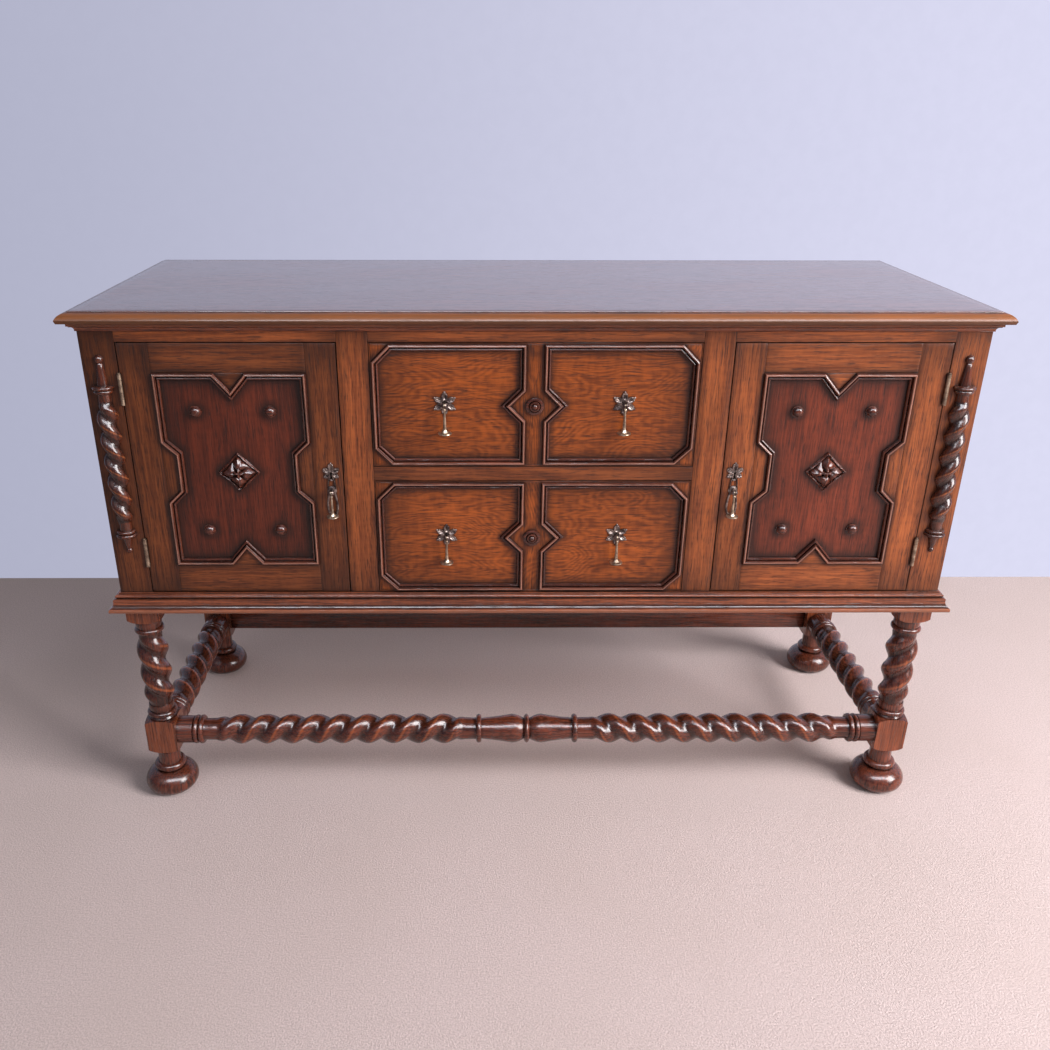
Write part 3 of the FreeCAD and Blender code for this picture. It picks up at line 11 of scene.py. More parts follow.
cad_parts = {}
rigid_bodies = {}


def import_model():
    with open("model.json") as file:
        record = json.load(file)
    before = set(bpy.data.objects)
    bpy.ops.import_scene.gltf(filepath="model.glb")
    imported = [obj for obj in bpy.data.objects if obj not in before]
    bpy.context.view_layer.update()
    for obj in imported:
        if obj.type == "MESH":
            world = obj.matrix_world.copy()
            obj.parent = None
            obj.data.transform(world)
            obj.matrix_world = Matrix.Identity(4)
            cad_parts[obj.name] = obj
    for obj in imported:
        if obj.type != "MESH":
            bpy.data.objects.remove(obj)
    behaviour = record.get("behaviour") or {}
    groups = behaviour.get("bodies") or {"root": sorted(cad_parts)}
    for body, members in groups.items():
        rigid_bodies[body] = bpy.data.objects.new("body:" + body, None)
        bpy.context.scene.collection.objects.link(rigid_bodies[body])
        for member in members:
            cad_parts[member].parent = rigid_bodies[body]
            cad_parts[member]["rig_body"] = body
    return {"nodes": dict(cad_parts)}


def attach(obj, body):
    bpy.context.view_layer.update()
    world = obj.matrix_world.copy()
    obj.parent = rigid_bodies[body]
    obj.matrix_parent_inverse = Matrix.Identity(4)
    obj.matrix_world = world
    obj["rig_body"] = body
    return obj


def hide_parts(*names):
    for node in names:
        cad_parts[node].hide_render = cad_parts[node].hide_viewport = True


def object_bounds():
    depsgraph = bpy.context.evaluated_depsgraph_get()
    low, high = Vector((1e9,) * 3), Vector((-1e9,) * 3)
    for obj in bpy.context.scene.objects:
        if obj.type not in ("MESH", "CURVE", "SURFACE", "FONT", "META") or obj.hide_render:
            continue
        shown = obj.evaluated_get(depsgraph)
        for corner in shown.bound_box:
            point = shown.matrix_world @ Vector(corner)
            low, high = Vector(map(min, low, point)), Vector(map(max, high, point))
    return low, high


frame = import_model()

MM = 0.001
FRONT = -0.2365  # y of the carcase front
DRAWER_FIELD = FRONT + 4 * MM  # y of the drawer panels' face
DOOR_FIELD = FRONT + 4 * MM  # y of the door panels' face

loaded_box = [list(corner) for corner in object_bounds()]
dice = random.Random(7)


# ---------------------------------------------------------------- materials

class Nodes:
    """The node tree of a material or of the world."""

    def __init__(self, owner):
        owner.use_nodes = True
        self.tree = owner.node_tree
        self.tree.nodes.clear()

    def add(self, kind, sockets=None, **settings):
        node = self.tree.nodes.new(kind)
        for key, value in settings.items():
            setattr(node, key, value)
        for key, value in (sockets or {}).items():
            if isinstance(value, bpy.types.NodeSocket):
                self.tree.links.new(value, node.inputs[key])
            else:
                node.inputs[key].default_value = value
        return node

    def blend(self, part, first, second):
        return self.add("ShaderNodeMixShader", {0: part, 1: first, 2: second}).outputs[0]


class Finish(Nodes):
    """A material and the nodes that make it."""

    def __init__(self, name):
        self.material = bpy.data.materials.new(name)
        super().__init__(self.material)

    def spot(self):
        return self.add("ShaderNodeTexCoord").outputs["Object"]

    def grain(self):
        return self.add("ShaderNodeAttribute", attribute_name="grain").outputs["Vector"]

    def value(self, name):
        return self.add("ShaderNodeAttribute", attribute_name=name).outputs["Fac"]

    def math(self, operation, first, second=0.0):
        return self.add("ShaderNodeMath", {0: first, 1: second}, operation=operation).outputs[0]

    def span(self, value, low, high, start=0.0, end=1.0):
        """Goes smoothly from start to end while the value goes from low to high."""
        sockets = {"Value": value, "From Min": low, "From Max": high, "To Min": start, "To Max": end}
        node = self.add("ShaderNodeMapRange", sockets, interpolation_type="SMOOTHSTEP")
        return node.outputs[0]

    def mix(self, factor, first, second, blend="MIX"):
        node = self.add("ShaderNodeMix", {0: factor, 6: first, 7: second}, data_type="RGBA")
        node.blend_type = blend
        return node.outputs[2]

    def noise(self, vector, stretch, detail=2.0, rough=0.5):
        """Noise of about so many waves per metre along each axis."""
        spread = self.add("ShaderNodeVectorMath", {0: vector, 1: stretch}, operation="MULTIPLY")
        sockets = {"Vector": spread.outputs[0], "Scale": 1.0, "Detail": detail, "Roughness": rough}
        return self.add("ShaderNodeTexNoise", sockets).outputs[0]

    def bump(self, height, depth, strength):
        sockets = {"Height": height, "Distance": depth, "Strength": strength}
        return self.add("ShaderNodeBump", sockets).outputs[0]

    def hollows(self, reach):
        """0 in the open and 1 in a crevice."""
        node = self.add("ShaderNodeAmbientOcclusion", {"Distance": reach}, samples=8)
        return self.span(node.outputs["AO"], 0.35, 0.95, 1.0, 0.0)

    def toned(self, colour, blotch, low, high):
        """The colour made lighter or darker in blotches and by the tone of its board."""
        level = self.math("MULTIPLY", self.span(blotch, 0.25, 0.75, low, high), self.value("tone"))
        shade = self.add("ShaderNodeCombineColor", {0: level, 1: level, 2: level}).outputs[0]
        return self.mix(1.0, colour, shade, "MULTIPLY")

    def surface(self, **sockets):
        named = {key.replace("_", " "): value for key, value in sockets.items()}
        shader = self.add("ShaderNodeBsdfPrincipled", named)
        output = self.add("ShaderNodeOutputMaterial")
        self.tree.links.new(shader.outputs[0], output.inputs[0])
        return self.material


def ink(red, green, blue):
    """A colour written as 0 to 255 on screen, for a shader socket."""
    def linear(level):
        part = level / 255
        return part / 12.92 if part <= 0.04045 else ((part + 0.055) / 1.055) ** 2.4
    return (linear(red), linear(green), linear(blue), 1.0)


# Dark wax in the pores, and also the colour of the painted shade in hollows and marked places
WAX_AND_SHADE = ink(26, 14, 10)


def oak(name, pale, deep, rings=8.0, curl=2.4, figure=0.05, straight=1.0, ripple=0.03,
        shine=0.3, rough=0.36, coat=0.1, crevice=9 * MM, hollow_darkness=0.75,
        lightened=None, lighten_from=0.75, lighten_depth=0.8):
    """Oak: growth rings, fibres, open pores, ray figure, dark wax and painted shade in the hollows, and
    edges lightened by wear and painted highlight.
    """
    f = Finish(name)
    grain = f.grain()
    drift = f.math("SUBTRACT", f.noise(grain, (curl * 1.5, 20, 20)), 0.5)
    drift = f.math("MULTIPLY", drift, 16 * MM)
    sway = f.add("ShaderNodeCombineXYZ", {"Y": drift, "Z": drift}).outputs[0]
    bent = f.add("ShaderNodeVectorMath", {0: grain, 1: sway}, operation="ADD").outputs[0]
    swell = f.noise(bent, (curl, 13, 13), 2.0, 0.35)
    ring = f.math("SINE", f.math("MULTIPLY", swell, rings * 2 * math.pi))
    band = f.noise(bent, (8.0, 290, 290), 4.0, 0.72)
    fibre = f.noise(bent, (18, 560, 560), 2.0, 0.6)
    pore = f.span(f.noise(bent, (34, 520, 520), 2.0, 0.6), 0.53, 0.66)
    wave = f.span(f.noise(bent, (120, 34, 34), 1.0), 0.35, 0.65, -ripple, ripple)
    blotch = f.noise(grain, (3.5, 8, 8), 2.0)

    light = f.span(band, 0.0, 1.0, 0.5 - straight / 2, 0.5 + straight / 2)
    light = f.math("ADD", light, f.math("MULTIPLY", ring, figure))
    light = f.math("ADD", light, f.math("MULTIPLY", fibre, 0.45))
    light = f.math("ADD", light, wave)
    colour = f.mix(f.span(light, 0.44, 1.02), deep, pale)
    colour = f.mix(f.math("MULTIPLY", pore, 0.6), colour, WAX_AND_SHADE)
    colour = f.toned(colour, blotch, 0.84, 1.16)
    # Lighter on rubbed edges and crests: wear, and on the moulding crests painted highlight as well.
    if lightened:
        ragged = f.math("MULTIPLY", f.math("SUBTRACT", band, 0.5), 0.5)
        ragged = f.math("ADD", f.value("wear_and_sheen"), ragged)
        colour = f.mix(f.span(ragged, lighten_from, lighten_from + 0.25, 0.0, lighten_depth), colour, lightened)
    # Darker where marked: a stained finish on the boards, and painted shade in coves, twist valleys,
    # under the top and round the ornament.
    colour = f.mix(f.value("stain_and_shade"), colour, WAX_AND_SHADE)
    # Darker in the crevices: dark wax and painted shade.
    colour = f.mix(f.math("MULTIPLY", f.hollows(crevice), hollow_darkness), colour, WAX_AND_SHADE)

    gloss = f.span(blotch, 0.2, 0.8, rough - 0.03, rough + 0.04)
    gloss = f.math("ADD", gloss, f.math("MULTIPLY", pore, 0.12))
    relief = f.math("SUBTRACT", f.math("MULTIPLY", fibre, 0.5), pore)
    return f.surface(Base_Color=colour, Roughness=gloss, Normal=f.bump(relief, 0.3 * MM, 0.3),
                     Specular_IOR_Level=shine, Coat_Weight=coat, Coat_Roughness=0.18)


def raw_oak(name, pale, deep):
    """Unpolished oak for the inside: dry, with painted shade in the corners."""
    f = Finish(name)
    grain = f.grain()
    band = f.noise(grain, (3.0, 160, 160), 4.0, 0.65)
    fibre = f.noise(grain, (16, 520, 520), 2.0)
    blotch = f.noise(grain, (3, 5, 5), 2.0)
    light = f.math("ADD", f.math("MULTIPLY", band, 0.7), f.math("MULTIPLY", fibre, 0.3))
    colour = f.mix(f.span(light, 0.3, 0.7), deep, pale)
    colour = f.toned(colour, blotch, 0.88, 1.1)
    # Painted shade in the corners and crevices.
    colour = f.mix(f.math("MULTIPLY", f.hollows(50 * MM), 0.6), colour, WAX_AND_SHADE)
    dry = f.span(fibre, 0.2, 0.8, 0.58, 0.76)
    return f.surface(Base_Color=colour, Roughness=dry, Normal=f.bump(fibre, 0.3 * MM, 0.35))


def metal(name, bright, dull, rough, hollow_darkness):
    """Cast metal, bright and dull in patches, and dark in the hollows."""
    f = Finish(name)
    spot = f.spot()
    cloud = f.noise(spot, (90, 90, 90), 3.0, 0.6)
    pit = f.noise(spot, (900, 900, 900), 2.0)
    colour = f.mix(f.span(cloud, 0.35, 0.65), bright, dull)
    hollow = f.math("MULTIPLY", f.hollows(6 * MM), hollow_darkness)
    colour = f.mix(hollow, colour, ink(30, 22, 16))
    gloss = f.span(cloud, 0.3, 0.7, rough - 0.06, rough + 0.12)
    return f.surface(Base_Color=colour, Roughness=gloss, Metallic=0.92,
                     Normal=f.bump(pit, 0.2 * MM, 0.25))


POLISHED = {"shine": 0.4, "rough": 0.20, "coat": 0.35, "rings": 3}
FINISHES = {
    "top_oak": oak("top_oak", ink(122, 64, 36), ink(76, 36, 21), shine=0.9, rough=0.26, coat=1.0),
    "edge_oak": oak("edge_oak", ink(132, 70, 36), ink(76, 36, 19), coat=0.2,
                    lightened=ink(164, 102, 54), lighten_from=0.5, lighten_depth=0.5),
    "frame_oak": oak("frame_oak", ink(156, 84, 42), ink(106, 52, 26)),
    "panel_oak": oak("panel_oak", ink(120, 51, 29), ink(82, 33, 19), rings=6),
    "drawer_oak": oak("drawer_oak", ink(166, 83, 29), ink(108, 50, 17), rings=32, curl=5.0,
                      figure=0.10, straight=0.75, ripple=0.05),
    # Its lighter crests are wear and painted highlight.
    "moulding_oak": oak("moulding_oak", ink(100, 51, 35), ink(52, 24, 16), crevice=5 * MM,
                        hollow_darkness=0.95, lightened=ink(174, 122, 102), lighten_depth=0.6, **POLISHED),
    # Its lighter most projecting parts are wear and painted highlight.
    "base_oak": oak("base_oak", ink(156, 84, 52), ink(88, 42, 25), crevice=7 * MM,
                    hollow_darkness=1.0, lightened=ink(176, 112, 82), lighten_depth=0.5, **POLISHED),
    "dark_oak": oak("dark_oak", ink(106, 52, 35), ink(48, 22, 15),
                    lightened=ink(168, 88, 46), lighten_depth=0.55, **POLISHED),
    "split_oak": oak("split_oak", ink(92, 44, 26), ink(48, 21, 13), crevice=7 * MM,
                     lightened=ink(178, 102, 56), lighten_depth=0.6, **POLISHED),
    "inside_oak": raw_oak("inside_oak", ink(168, 122, 80), ink(126, 86, 54)),
    "aged_brass": metal("aged_brass", ink(190, 170, 146), ink(120, 101, 86), 0.34, 0.9),
    "cast_brass": metal("cast_brass", ink(150, 134, 126), ink(74, 62, 60), 0.33, 1.0),
    "lock_iron": metal("lock_iron", ink(92, 88, 84), ink(58, 50, 46), 0.46, 0.7),
}


# ---------------------------------------------------------------- skins of the CAD nodes

INSIDE = {"back_panel", "back_rails", "bottom_board", "partitions", "shelves", "shelf_bearers",
          "drawer_runners", "drawer_lower_box", "drawer_upper_box"}
TOP = {"top_board", "top_moulding"}
UPRIGHT = {"door_left_panel", "door_right_panel", "end_panels", "muntins", "front_stiles", "rear_posts"}
METAL_WORDS = ("hinge", "pull", "handle", "drop")
DARK_WORDS = ("leg_", "stretcher", "split", "boss")


def slot_of(node):
    if "lock" in node:
        return "lock_iron"
    if any(word in node for word in METAL_WORDS):
        return "aged_brass"
    if node in TOP:
        return "top_oak"
    if node in INSIDE:
        return "inside_oak"
    if node in ("door_left_panel", "door_right_panel"):
        return "panel_oak"
    if node in ("drawer_lower_front", "drawer_upper_front"):
        return "drawer_oak"
    if any(word in node for word in DARK_WORDS):
        return "dark_oak"
    if node.startswith(("door", "drawer")) and node.endswith("moulding"):
        return "dark_oak"
    return "frame_oak"


def finish_of(node):
    """The material of a piece, which for some is a variant of its slot."""
    if node == "split_turnings":
        return "split_oak"
    if node in ("base_moulding", "top_moulding"):
        return "base_oak"
    if node.endswith("moulding"):
        return "moulding_oak"
    if node.endswith(("handle_plates", "pull_plate")):
        return "cast_brass"
    return slot_of(node)


def solids(node):
    """The closed solids of a node, each as a list of triangles of points."""
    mesh = frame["nodes"][node].data
    points = [tuple(vertex.co) for vertex in mesh.vertices]
    found, run, unpaired = [], [], set()
    for face in mesh.polygons:
        corners = [points[index] for index in face.vertices]
        run.append(corners)
        for edge in zip(corners, corners[1:] + corners[:1]):
            if edge[::-1] in unpaired:
                unpaired.discard(edge[::-1])
            elif edge[0] != edge[1]:
                unpaired.add(edge)
        if not unpaired:
            found.append(run)
            run = []
    return found


def welded(triangles):
    """One mesh of these triangles, joined where their points are the same."""
    solid = bmesh.new()
    made = {}
    for corners in triangles:
        for point in corners:
            if point not in made:
                made[point] = solid.verts.new(point)
        ring = [made[point] for point in corners]
        if len(set(ring)) == 3 and solid.faces.get(ring) is None:
            solid.faces.new(ring)
    return solid


FLAT, SHARP, CREASE = math.radians(1), math.radians(40), math.radians(32)
ARRIS, LONG_EDGE = 0.6 * MM, 8 * MM


def ease(solid):
    """Joins the triangles of each flat face and rounds the long sharp edges a little."""
    bmesh.ops.dissolve_limit(solid, angle_limit=FLAT, verts=solid.verts, edges=solid.edges)
    sharp = []
    for edge in solid.edges:
        if edge.is_manifold and edge.is_convex and edge.calc_length() > LONG_EDGE:
            if edge.calc_face_angle() > SHARP:
                sharp.append(edge)
    bmesh.ops.bevel(solid, geom=sharp, offset=ARRIS, offset_type="OFFSET", segments=2, profile=0.5,
                    affect="EDGES", clamp_overlap=True)


def cut_up(solid, step):
    """Cuts the faces into a grid, so that the stain and painted shade can fade across them."""
    for axis in range(3):
        places = [vertex.co[axis] for vertex in solid.verts]
        low, high = min(places), max(places)
        count = int((high - low) / step)
        normal = Vector((0, 0, 0))
        normal[axis] = 1
        for index in range(count):
            point = Vector((0, 0, 0))
            point[axis] = low + (high - low) * (index + 1) / (count + 1)
            geometry = solid.verts[:] + solid.edges[:] + solid.faces[:]
            bmesh.ops.bisect_plane(solid, geom=geometry, plane_co=point, plane_no=normal)


def samples(nodes, step=3 * MM):
    """Points along every edge of these nodes."""
    points = []
    for node in nodes:
        mesh = frame["nodes"][node].data
        for edge in mesh.edges:
            first, last = (mesh.vertices[index].co for index in edge.vertices)
            count = max(1, int((last - first).length / step))
            points.extend(first.lerp(last, part / count) for part in range(count + 1))
    return points


def near(nodes):
    """A tree that finds the nearest of the points along these nodes."""
    points = samples(nodes)
    tree = KDTree(len(points))
    for index, point in enumerate(points):
        tree.insert(point, index)
    tree.balance()
    return tree


def fade(value, low, high):
    """Goes smoothly from 0 at low to 1 at high."""
    part = np.clip((value - low) / (high - low), 0, 1)
    return part * part * (3 - 2 * part)


ORNAMENT = {
    "left": near(["door_left_moulding", "door_left_bosses"]),
    "right": near(["door_right_moulding", "door_right_bosses"]),
    "lower": near(["drawer_lower_moulding", "drawer_lower_boss"]),
    "upper": near(["drawer_upper_moulding", "drawer_upper_boss"]),
}
# How far the dark wax and painted shade spread from the ornament, and how dark they are
HALO = {"panel": (18 * MM, 0.70), "frame": (11 * MM, 0.55), "front": (14 * MM, 0.60)}

# Axis, radius of the crests, and where the twist starts and ends: heights for what stands upright,
# distances from the middle for the stretchers
TWISTS = {
    "leg_": (2, 27.5 * MM, 0.190, 0.335),
    "split": (2, 17.5 * MM, 0.560, 0.765),
    "stretcher_front": (0, 27.5 * MM, 0.125, 0.535),
    "stretcher_left": (1, 27.5 * MM, 0.0, 0.13),
    "stretcher_right": (1, 27.5 * MM, 0.0, 0.13),
}
PLAIN = 0.9  # share of the crest's radius that a plain place counts as
PAST_CREST = 1.03


def twisted_reach(node, places, box):
    """Distance of each place from the axis of a twist, as a share of the crest's radius, or None."""
    for word, (axis, crest, start, end) in TWISTS.items():
        if node.startswith(word):
            middle = (box[0] + box[1]) / 2
            if word == "split":
                middle[1] = FRONT
            sides = [side for side in range(3) if side != axis]
            radius = np.hypot(*(places[:, side] - middle[side] for side in sides)) / crest
            along = places[:, axis]
            if axis != 2:
                along = np.abs(along - middle[axis])
            plain = (along < start) | (along > end) | (radius > PAST_CREST)
            return np.where(plain, PLAIN, radius)
    return None


BUN_TOP = 0.08  # height of the top of the bun feet
BLOCK_FACE = (26.5 * MM, 27.5 * MM)  # how far from the axis the faces of the leg blocks may lie
BLOCK_WEAR = 0.87
COVE = (0.20, 0.25, 0.38, 0.46)  # bands of painted shade on the base moulding, as shares of its height
QUIRK = (0.66, 0.72, 0.75, 0.80)
# Shares of its height over which painted shade fades out above the bottom lip
LIP = (0.10, 0.20)


def wear_and_sheen_of(node, places, box):
    """How much lighter each place is made: 1 on the crests of a twist or bead, or low on the edge of
    the top; wear, and on the beads painted highlight as well.
    """
    low, high = box
    if node == "top_board":
        return fade(high[2] - places[:, 2], 1 * MM, 3 * MM)
    # Wear and painted highlight on the most projecting part of a moulding.
    if node.endswith("moulding"):
        return fade(high[1] - places[:, 1], 0.75 * (high - low)[1], (high - low)[1])
    reach = twisted_reach(node, places, box)
    if reach is None:
        return np.zeros(len(places))
    lightened = fade(reach, 0.92, 1.0)
    if node.startswith("leg_"):
        aside = np.abs(places - (low + high) / 2)[:, :2].max(1)
        flat = (aside > BLOCK_FACE[0]) & (aside < BLOCK_FACE[1]) & (places[:, 2] > BUN_TOP)
        lightened = np.maximum(lightened, BLOCK_WEAR * flat)
    return lightened


def stripe(value, start, full, fading, end):
    return fade(value, start, full) * (1 - fade(value, fading, end))


def stain_and_shade_of(node, places, box):
    """How dark each place is made, 0 clean and 1 near black: finish darker at board ends and edges, and
    painted shade below the top's edge, under the top, in the base moulding's hollows, in twist valleys
    and, with dark wax, round the ornament.
    """
    low, high = box
    # Painted shade on the lower part of the top's moulded edge, which faces down.
    if node == "top_board":
        return 0.65 * fade(high[2] - places[:, 2], 8 * MM, 13 * MM)
    # Painted shade: the moulding under the top's overhang is darker all over.
    if node == "top_moulding":
        return np.full(len(places), 0.3)
    # Painted shade in the cove, the quirk and along the bottom lip.
    if node == "base_moulding":
        level = (places[:, 2] - low[2]) / (high - low)[2]
        lip = 0.6 * (1 - fade(level, *LIP))
        return 0.75 * np.maximum(np.maximum(stripe(level, *COVE), stripe(level, *QUIRK)), lip)
    reach = twisted_reach(node, places, box)
    # Painted shade in the valleys of a twist.
    if reach is not None:
        return 0.75 * (1 - fade(reach, 0.66, 0.88))
    size = np.maximum(high - low, 1e-6)
    part = np.abs(2 * (places - low) / size - 1)
    order = np.argsort(-size)
    ends = 0.50 * fade(part[:, order[0]], 0.60, 1.0)
    edges = 0.36 * fade(part[:, order[1]], 0.40, 1.0)
    dark = 1 - (1 - ends) * (1 - edges)
    words = node.split("_")
    # Darker round the ornament: dark wax and painted shade.
    if words[0] in ("door", "drawer") and words[-1] in HALO:
        reach, depth = HALO[words[-1]]
        gaps = np.array([ORNAMENT[words[1]].find(place)[2] for place in places])
        halo = depth * (1 - fade(gaps, 0, reach)) ** 1.3
        dark = 1 - (1 - dark) * (1 - halo)
    return dark


def grain_of(node, places, box):
    """Each place along, across and through the grain, in metres, from each board's own start."""
    low, high = box
    middle = (low + high) / 2
    if node.endswith("moulding"):
        spread = places - places.mean(0)
        axes = np.linalg.svd(spread, full_matrices=False)[2]
    else:
        order = list(np.argsort(-(high - low)))
        if node in UPRIGHT:
            order.remove(2)
            order.insert(0, 2)
        axes = np.eye(3)[order]
    start = np.array([dice.uniform(0, 9) for _ in range(3)])
    return (places - middle) @ axes.T + start


# Pieces made lighter or darker: the right-hand front leg and the right door panel lighter as painted
# light from the right
TONES = {"door_left_frame": 0.64, "door_left_panel": 0.66, "door_right_panel": 1.14, "muntins": 1.06,
         "front_rails": 1.12, "leg_front_left": 1.1, "leg_front_right": 1.35, "stretcher_front": 1.1}
LEFT_STILE, LEFT_CORNER = 0.52, 0.55
HIGH_UP, FAR_LEFT = 0.75, -0.55  # z and x past which the left door's frame is darkest


def tone_of(node, box):
    """The left-hand end of the front is darker than the rest, and the pieces in TONES lighter or darker
    as listed.
    """
    if node == "front_stiles":
        return LEFT_STILE if box[0][0] < 0 else 1.0
    if node == "door_left_frame" and (box[0][2] > HIGH_UP or box[1][0] < FAR_LEFT):
        return LEFT_CORNER
    return TONES.get(node, 1.0)


STAIN_AND_SHADE_SLOTS = ("top_oak", "frame_oak", "panel_oak", "drawer_oak")
TOP_EDGE = 1.2 * MM  # how far below its face the top board's moulded edge begins


class Skin:
    """The mesh of one piece, gathered solid by solid, with what the oak needs at each point."""

    def __init__(self, node):
        self.node = node
        self.points, self.faces = [], []
        self.marks = {"grain": [], "stain_and_shade": [], "tone": [], "wear_and_sheen": []}

    def take(self, solid):
        solid.verts.index_update()
        base = len(self.points)
        places = np.array([vertex.co for vertex in solid.verts])
        box = places.min(0), places.max(0)
        self.points.extend(map(tuple, places))
        self.faces.extend([base + vertex.index for vertex in face.verts] for face in solid.faces)
        self.marks["grain"].extend(grain_of(self.node, places, box))
        stain_and_shade = stain_and_shade_of(self.node, places, box) if self.takes_stain_and_shade() else np.zeros(len(places))
        self.marks["stain_and_shade"].extend(stain_and_shade)
        self.marks["tone"].extend([dice.uniform(0.9, 1.1) * tone_of(self.node, box)] * len(places))
        self.marks["wear_and_sheen"].extend(wear_and_sheen_of(self.node, places, box))
        solid.free()

    def takes_stain_and_shade(self):
        return self.node.startswith(("base_moulding", *TWISTS)) or slot_of(self.node) in STAIN_AND_SHADE_SLOTS

    def finish(self):
        mesh = bpy.data.meshes.new(self.node + "_skin")
        mesh.from_pydata(self.points, [], self.faces)
        for name, marks in self.marks.items():
            kind, field = ("FLOAT_VECTOR", "vector") if name == "grain" else ("FLOAT", "value")
            layer = mesh.attributes.new(name, kind, "POINT")
            layer.data.foreach_set(field, np.array(marks, np.float32).ravel())
        mesh.shade_smooth()
        mesh.set_sharp_from_angle(angle=CREASE)
        mesh.materials.append(FINISHES[finish_of(self.node)])
        if self.node == "top_board":
            mesh.materials.append(FINISHES["edge_oak"])
            level = max(point[2] for point in self.points) - TOP_EDGE
            for face in mesh.polygons:
                face.material_index = int(face.center.z < level)
        piece = bpy.data.objects.new(self.node + "_skin", mesh)
        bpy.context.scene.collection.objects.link(piece)
        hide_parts(self.node)
        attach(piece, frame["nodes"][self.node]["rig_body"])


# ---------------------------------------------------------------- carved and cast detail

PLATE, HALF_PLATE = 2.1 * MM, 1.05 * MM  # thickness of the cast plates
LEAVES = 6  # of a cast plate
LOZENGE_HALF, LOZENGE_RIM, LOZENGE_PEAK = 34 * MM, 4 * MM, 13 * MM
KEYHOLE_Z, PULL_BOSS_Z, LOOP_Z = 0.6435, 0.6140, 0.5940


def relief(solid, centre, outline, height, turns, rings, inner=None):
    """A carved face that stands on the plane of centre, faces the front and is closed behind."""
    angles = [2 * math.pi * turn / turns for turn in range(turns)]

    def loop(reach, rise):
        made = []
        for angle in angles:
            radius = reach(angle)
            spot = (centre[0] + radius * math.cos(angle), centre[1] - rise(radius, angle),
                    centre[2] + radius * math.sin(angle))
            made.append(solid.verts.new(spot))
        return made

    def between(part):
        start = inner or (lambda angle: 0.0)
        return lambda angle: start(angle) + (outline(angle) - start(angle)) * part

    flat = lambda radius, angle: 0.0
    loops = [loop(inner, flat)] if inner else []
    first = 0 if inner else 1
    for ring in range(first, rings + 1):
        loops.append(loop(between(ring / rings), height))
    loops.append(loop(outline, flat))
    pairs = list(zip(loops, loops[1:]))
    if inner:
        pairs.append((loops[-1], loops[0]))
    else:
        solid.faces.new(loops[0])
        solid.faces.new(reversed(loops[-1]))
    for near_loop, far_loop in pairs:
        for turn in range(turns):
            after = (turn + 1) % turns
            solid.faces.new((near_loop[turn], far_loop[turn], far_loop[after], near_loop[after]))


def tube(solid, path, wide, thick, sides=12):
    """A closed bar along a path in the plane of the front."""
    loops = []
    for index, point in enumerate(path):
        ahead = path[(index + 1) % len(path)] - path[index - 1]
        side = Vector((ahead.z, 0, -ahead.x)).normalized()
        ring = []
        for step in range(sides):
            angle = 2 * math.pi * step / sides
            offset = side * (wide * math.cos(angle)) + Vector((0, thick * math.sin(angle), 0))
            ring.append(solid.verts.new(point + offset))
        loops.append(ring)
    for ring, following in zip(loops, loops[1:] + loops[:1]):
        for step in range(sides):
            after = (step + 1) % sides
            solid.faces.new((ring[step], following[step], following[after], ring[after]))


def bead(solid, centre, radius):
    """A flattened ball, as thick as the plate that it stands on."""
    shape = Matrix.Translation(centre) @ Matrix.Diagonal((radius, HALF_PLATE, radius, 1))
    bmesh.ops.create_icosphere(solid, subdivisions=3, radius=1, matrix=shape)


def lozenge(centre):
    """Diamond rim round four swelling leaves and a bud."""
    solid = bmesh.new()
    outline = lambda angle: LOZENGE_HALF / (abs(math.cos(angle)) + abs(math.sin(angle)))

    def height(radius, angle):
        edge = outline(angle)
        inward = (edge - radius) * edge / LOZENGE_HALF
        ridge = 0.32 * max(0.0, 1 - (2 * inward / LOZENGE_RIM - 1) ** 2)
        part = radius / (edge * 0.82)
        if part >= 1:
            return LOZENGE_PEAK * max(ridge, 0.08)
        swell = (1 - part ** 2.4) ** 0.6
        lobe = abs(math.cos(2 * (angle + 0.30 * part)))
        vein = math.exp(-((1 - lobe) / 0.05) ** 2)
        bud = math.exp(-(part / 0.18) ** 2)
        moat = math.exp(-((part - 0.32) / 0.09) ** 2)
        body = swell * (0.36 + 0.60 * lobe ** 0.6) - 0.12 * vein * part - 0.22 * moat
        return LOZENGE_PEAK * min(1.0, max(0.10, body * (1 - bud) + 0.92 * bud))

    relief(solid, centre, outline, height, turns=192, rings=44)
    bmesh.ops.recalc_face_normals(solid, faces=solid.faces)
    return solid


def petals(tip, waist, lean=0.0):
    """Outline of a star of leaves, the first one pointing up."""
    def outline(angle):
        lobe = abs(math.cos((angle - math.pi / 2) * LEAVES / 2))
        reach = tip + lean * max(0.0, math.sin(angle))
        return waist + (reach - waist) * lobe ** 0.9
    return outline


def channelled(outline, eye):
    """Height of cast leaves: turned-up edges, a sunk middle with a rib, and a ring round the eye."""
    def height(radius, angle):
        turn = (angle - math.pi / 2) * LEAVES / 2
        across = abs(math.sin(turn))
        part = radius / outline(angle)
        edge = max(fade(part, 0.70, 0.95), fade(across, 0.35, 0.75))
        rib = 1 - fade(across, 0.04, 0.16)
        ring = math.exp(-((radius - eye) / (0.28 * eye)) ** 2)
        return PLATE * min(1.0, 0.30 + 0.55 * float(edge) + 0.35 * float(rib) * part + 0.9 * ring)
    return height


def leaf_angle(leaf):
    return math.pi / 2 + 2 * math.pi * leaf / LEAVES


def polar(angle, reach):
    return Vector((math.cos(angle), 0, math.sin(angle))) * reach


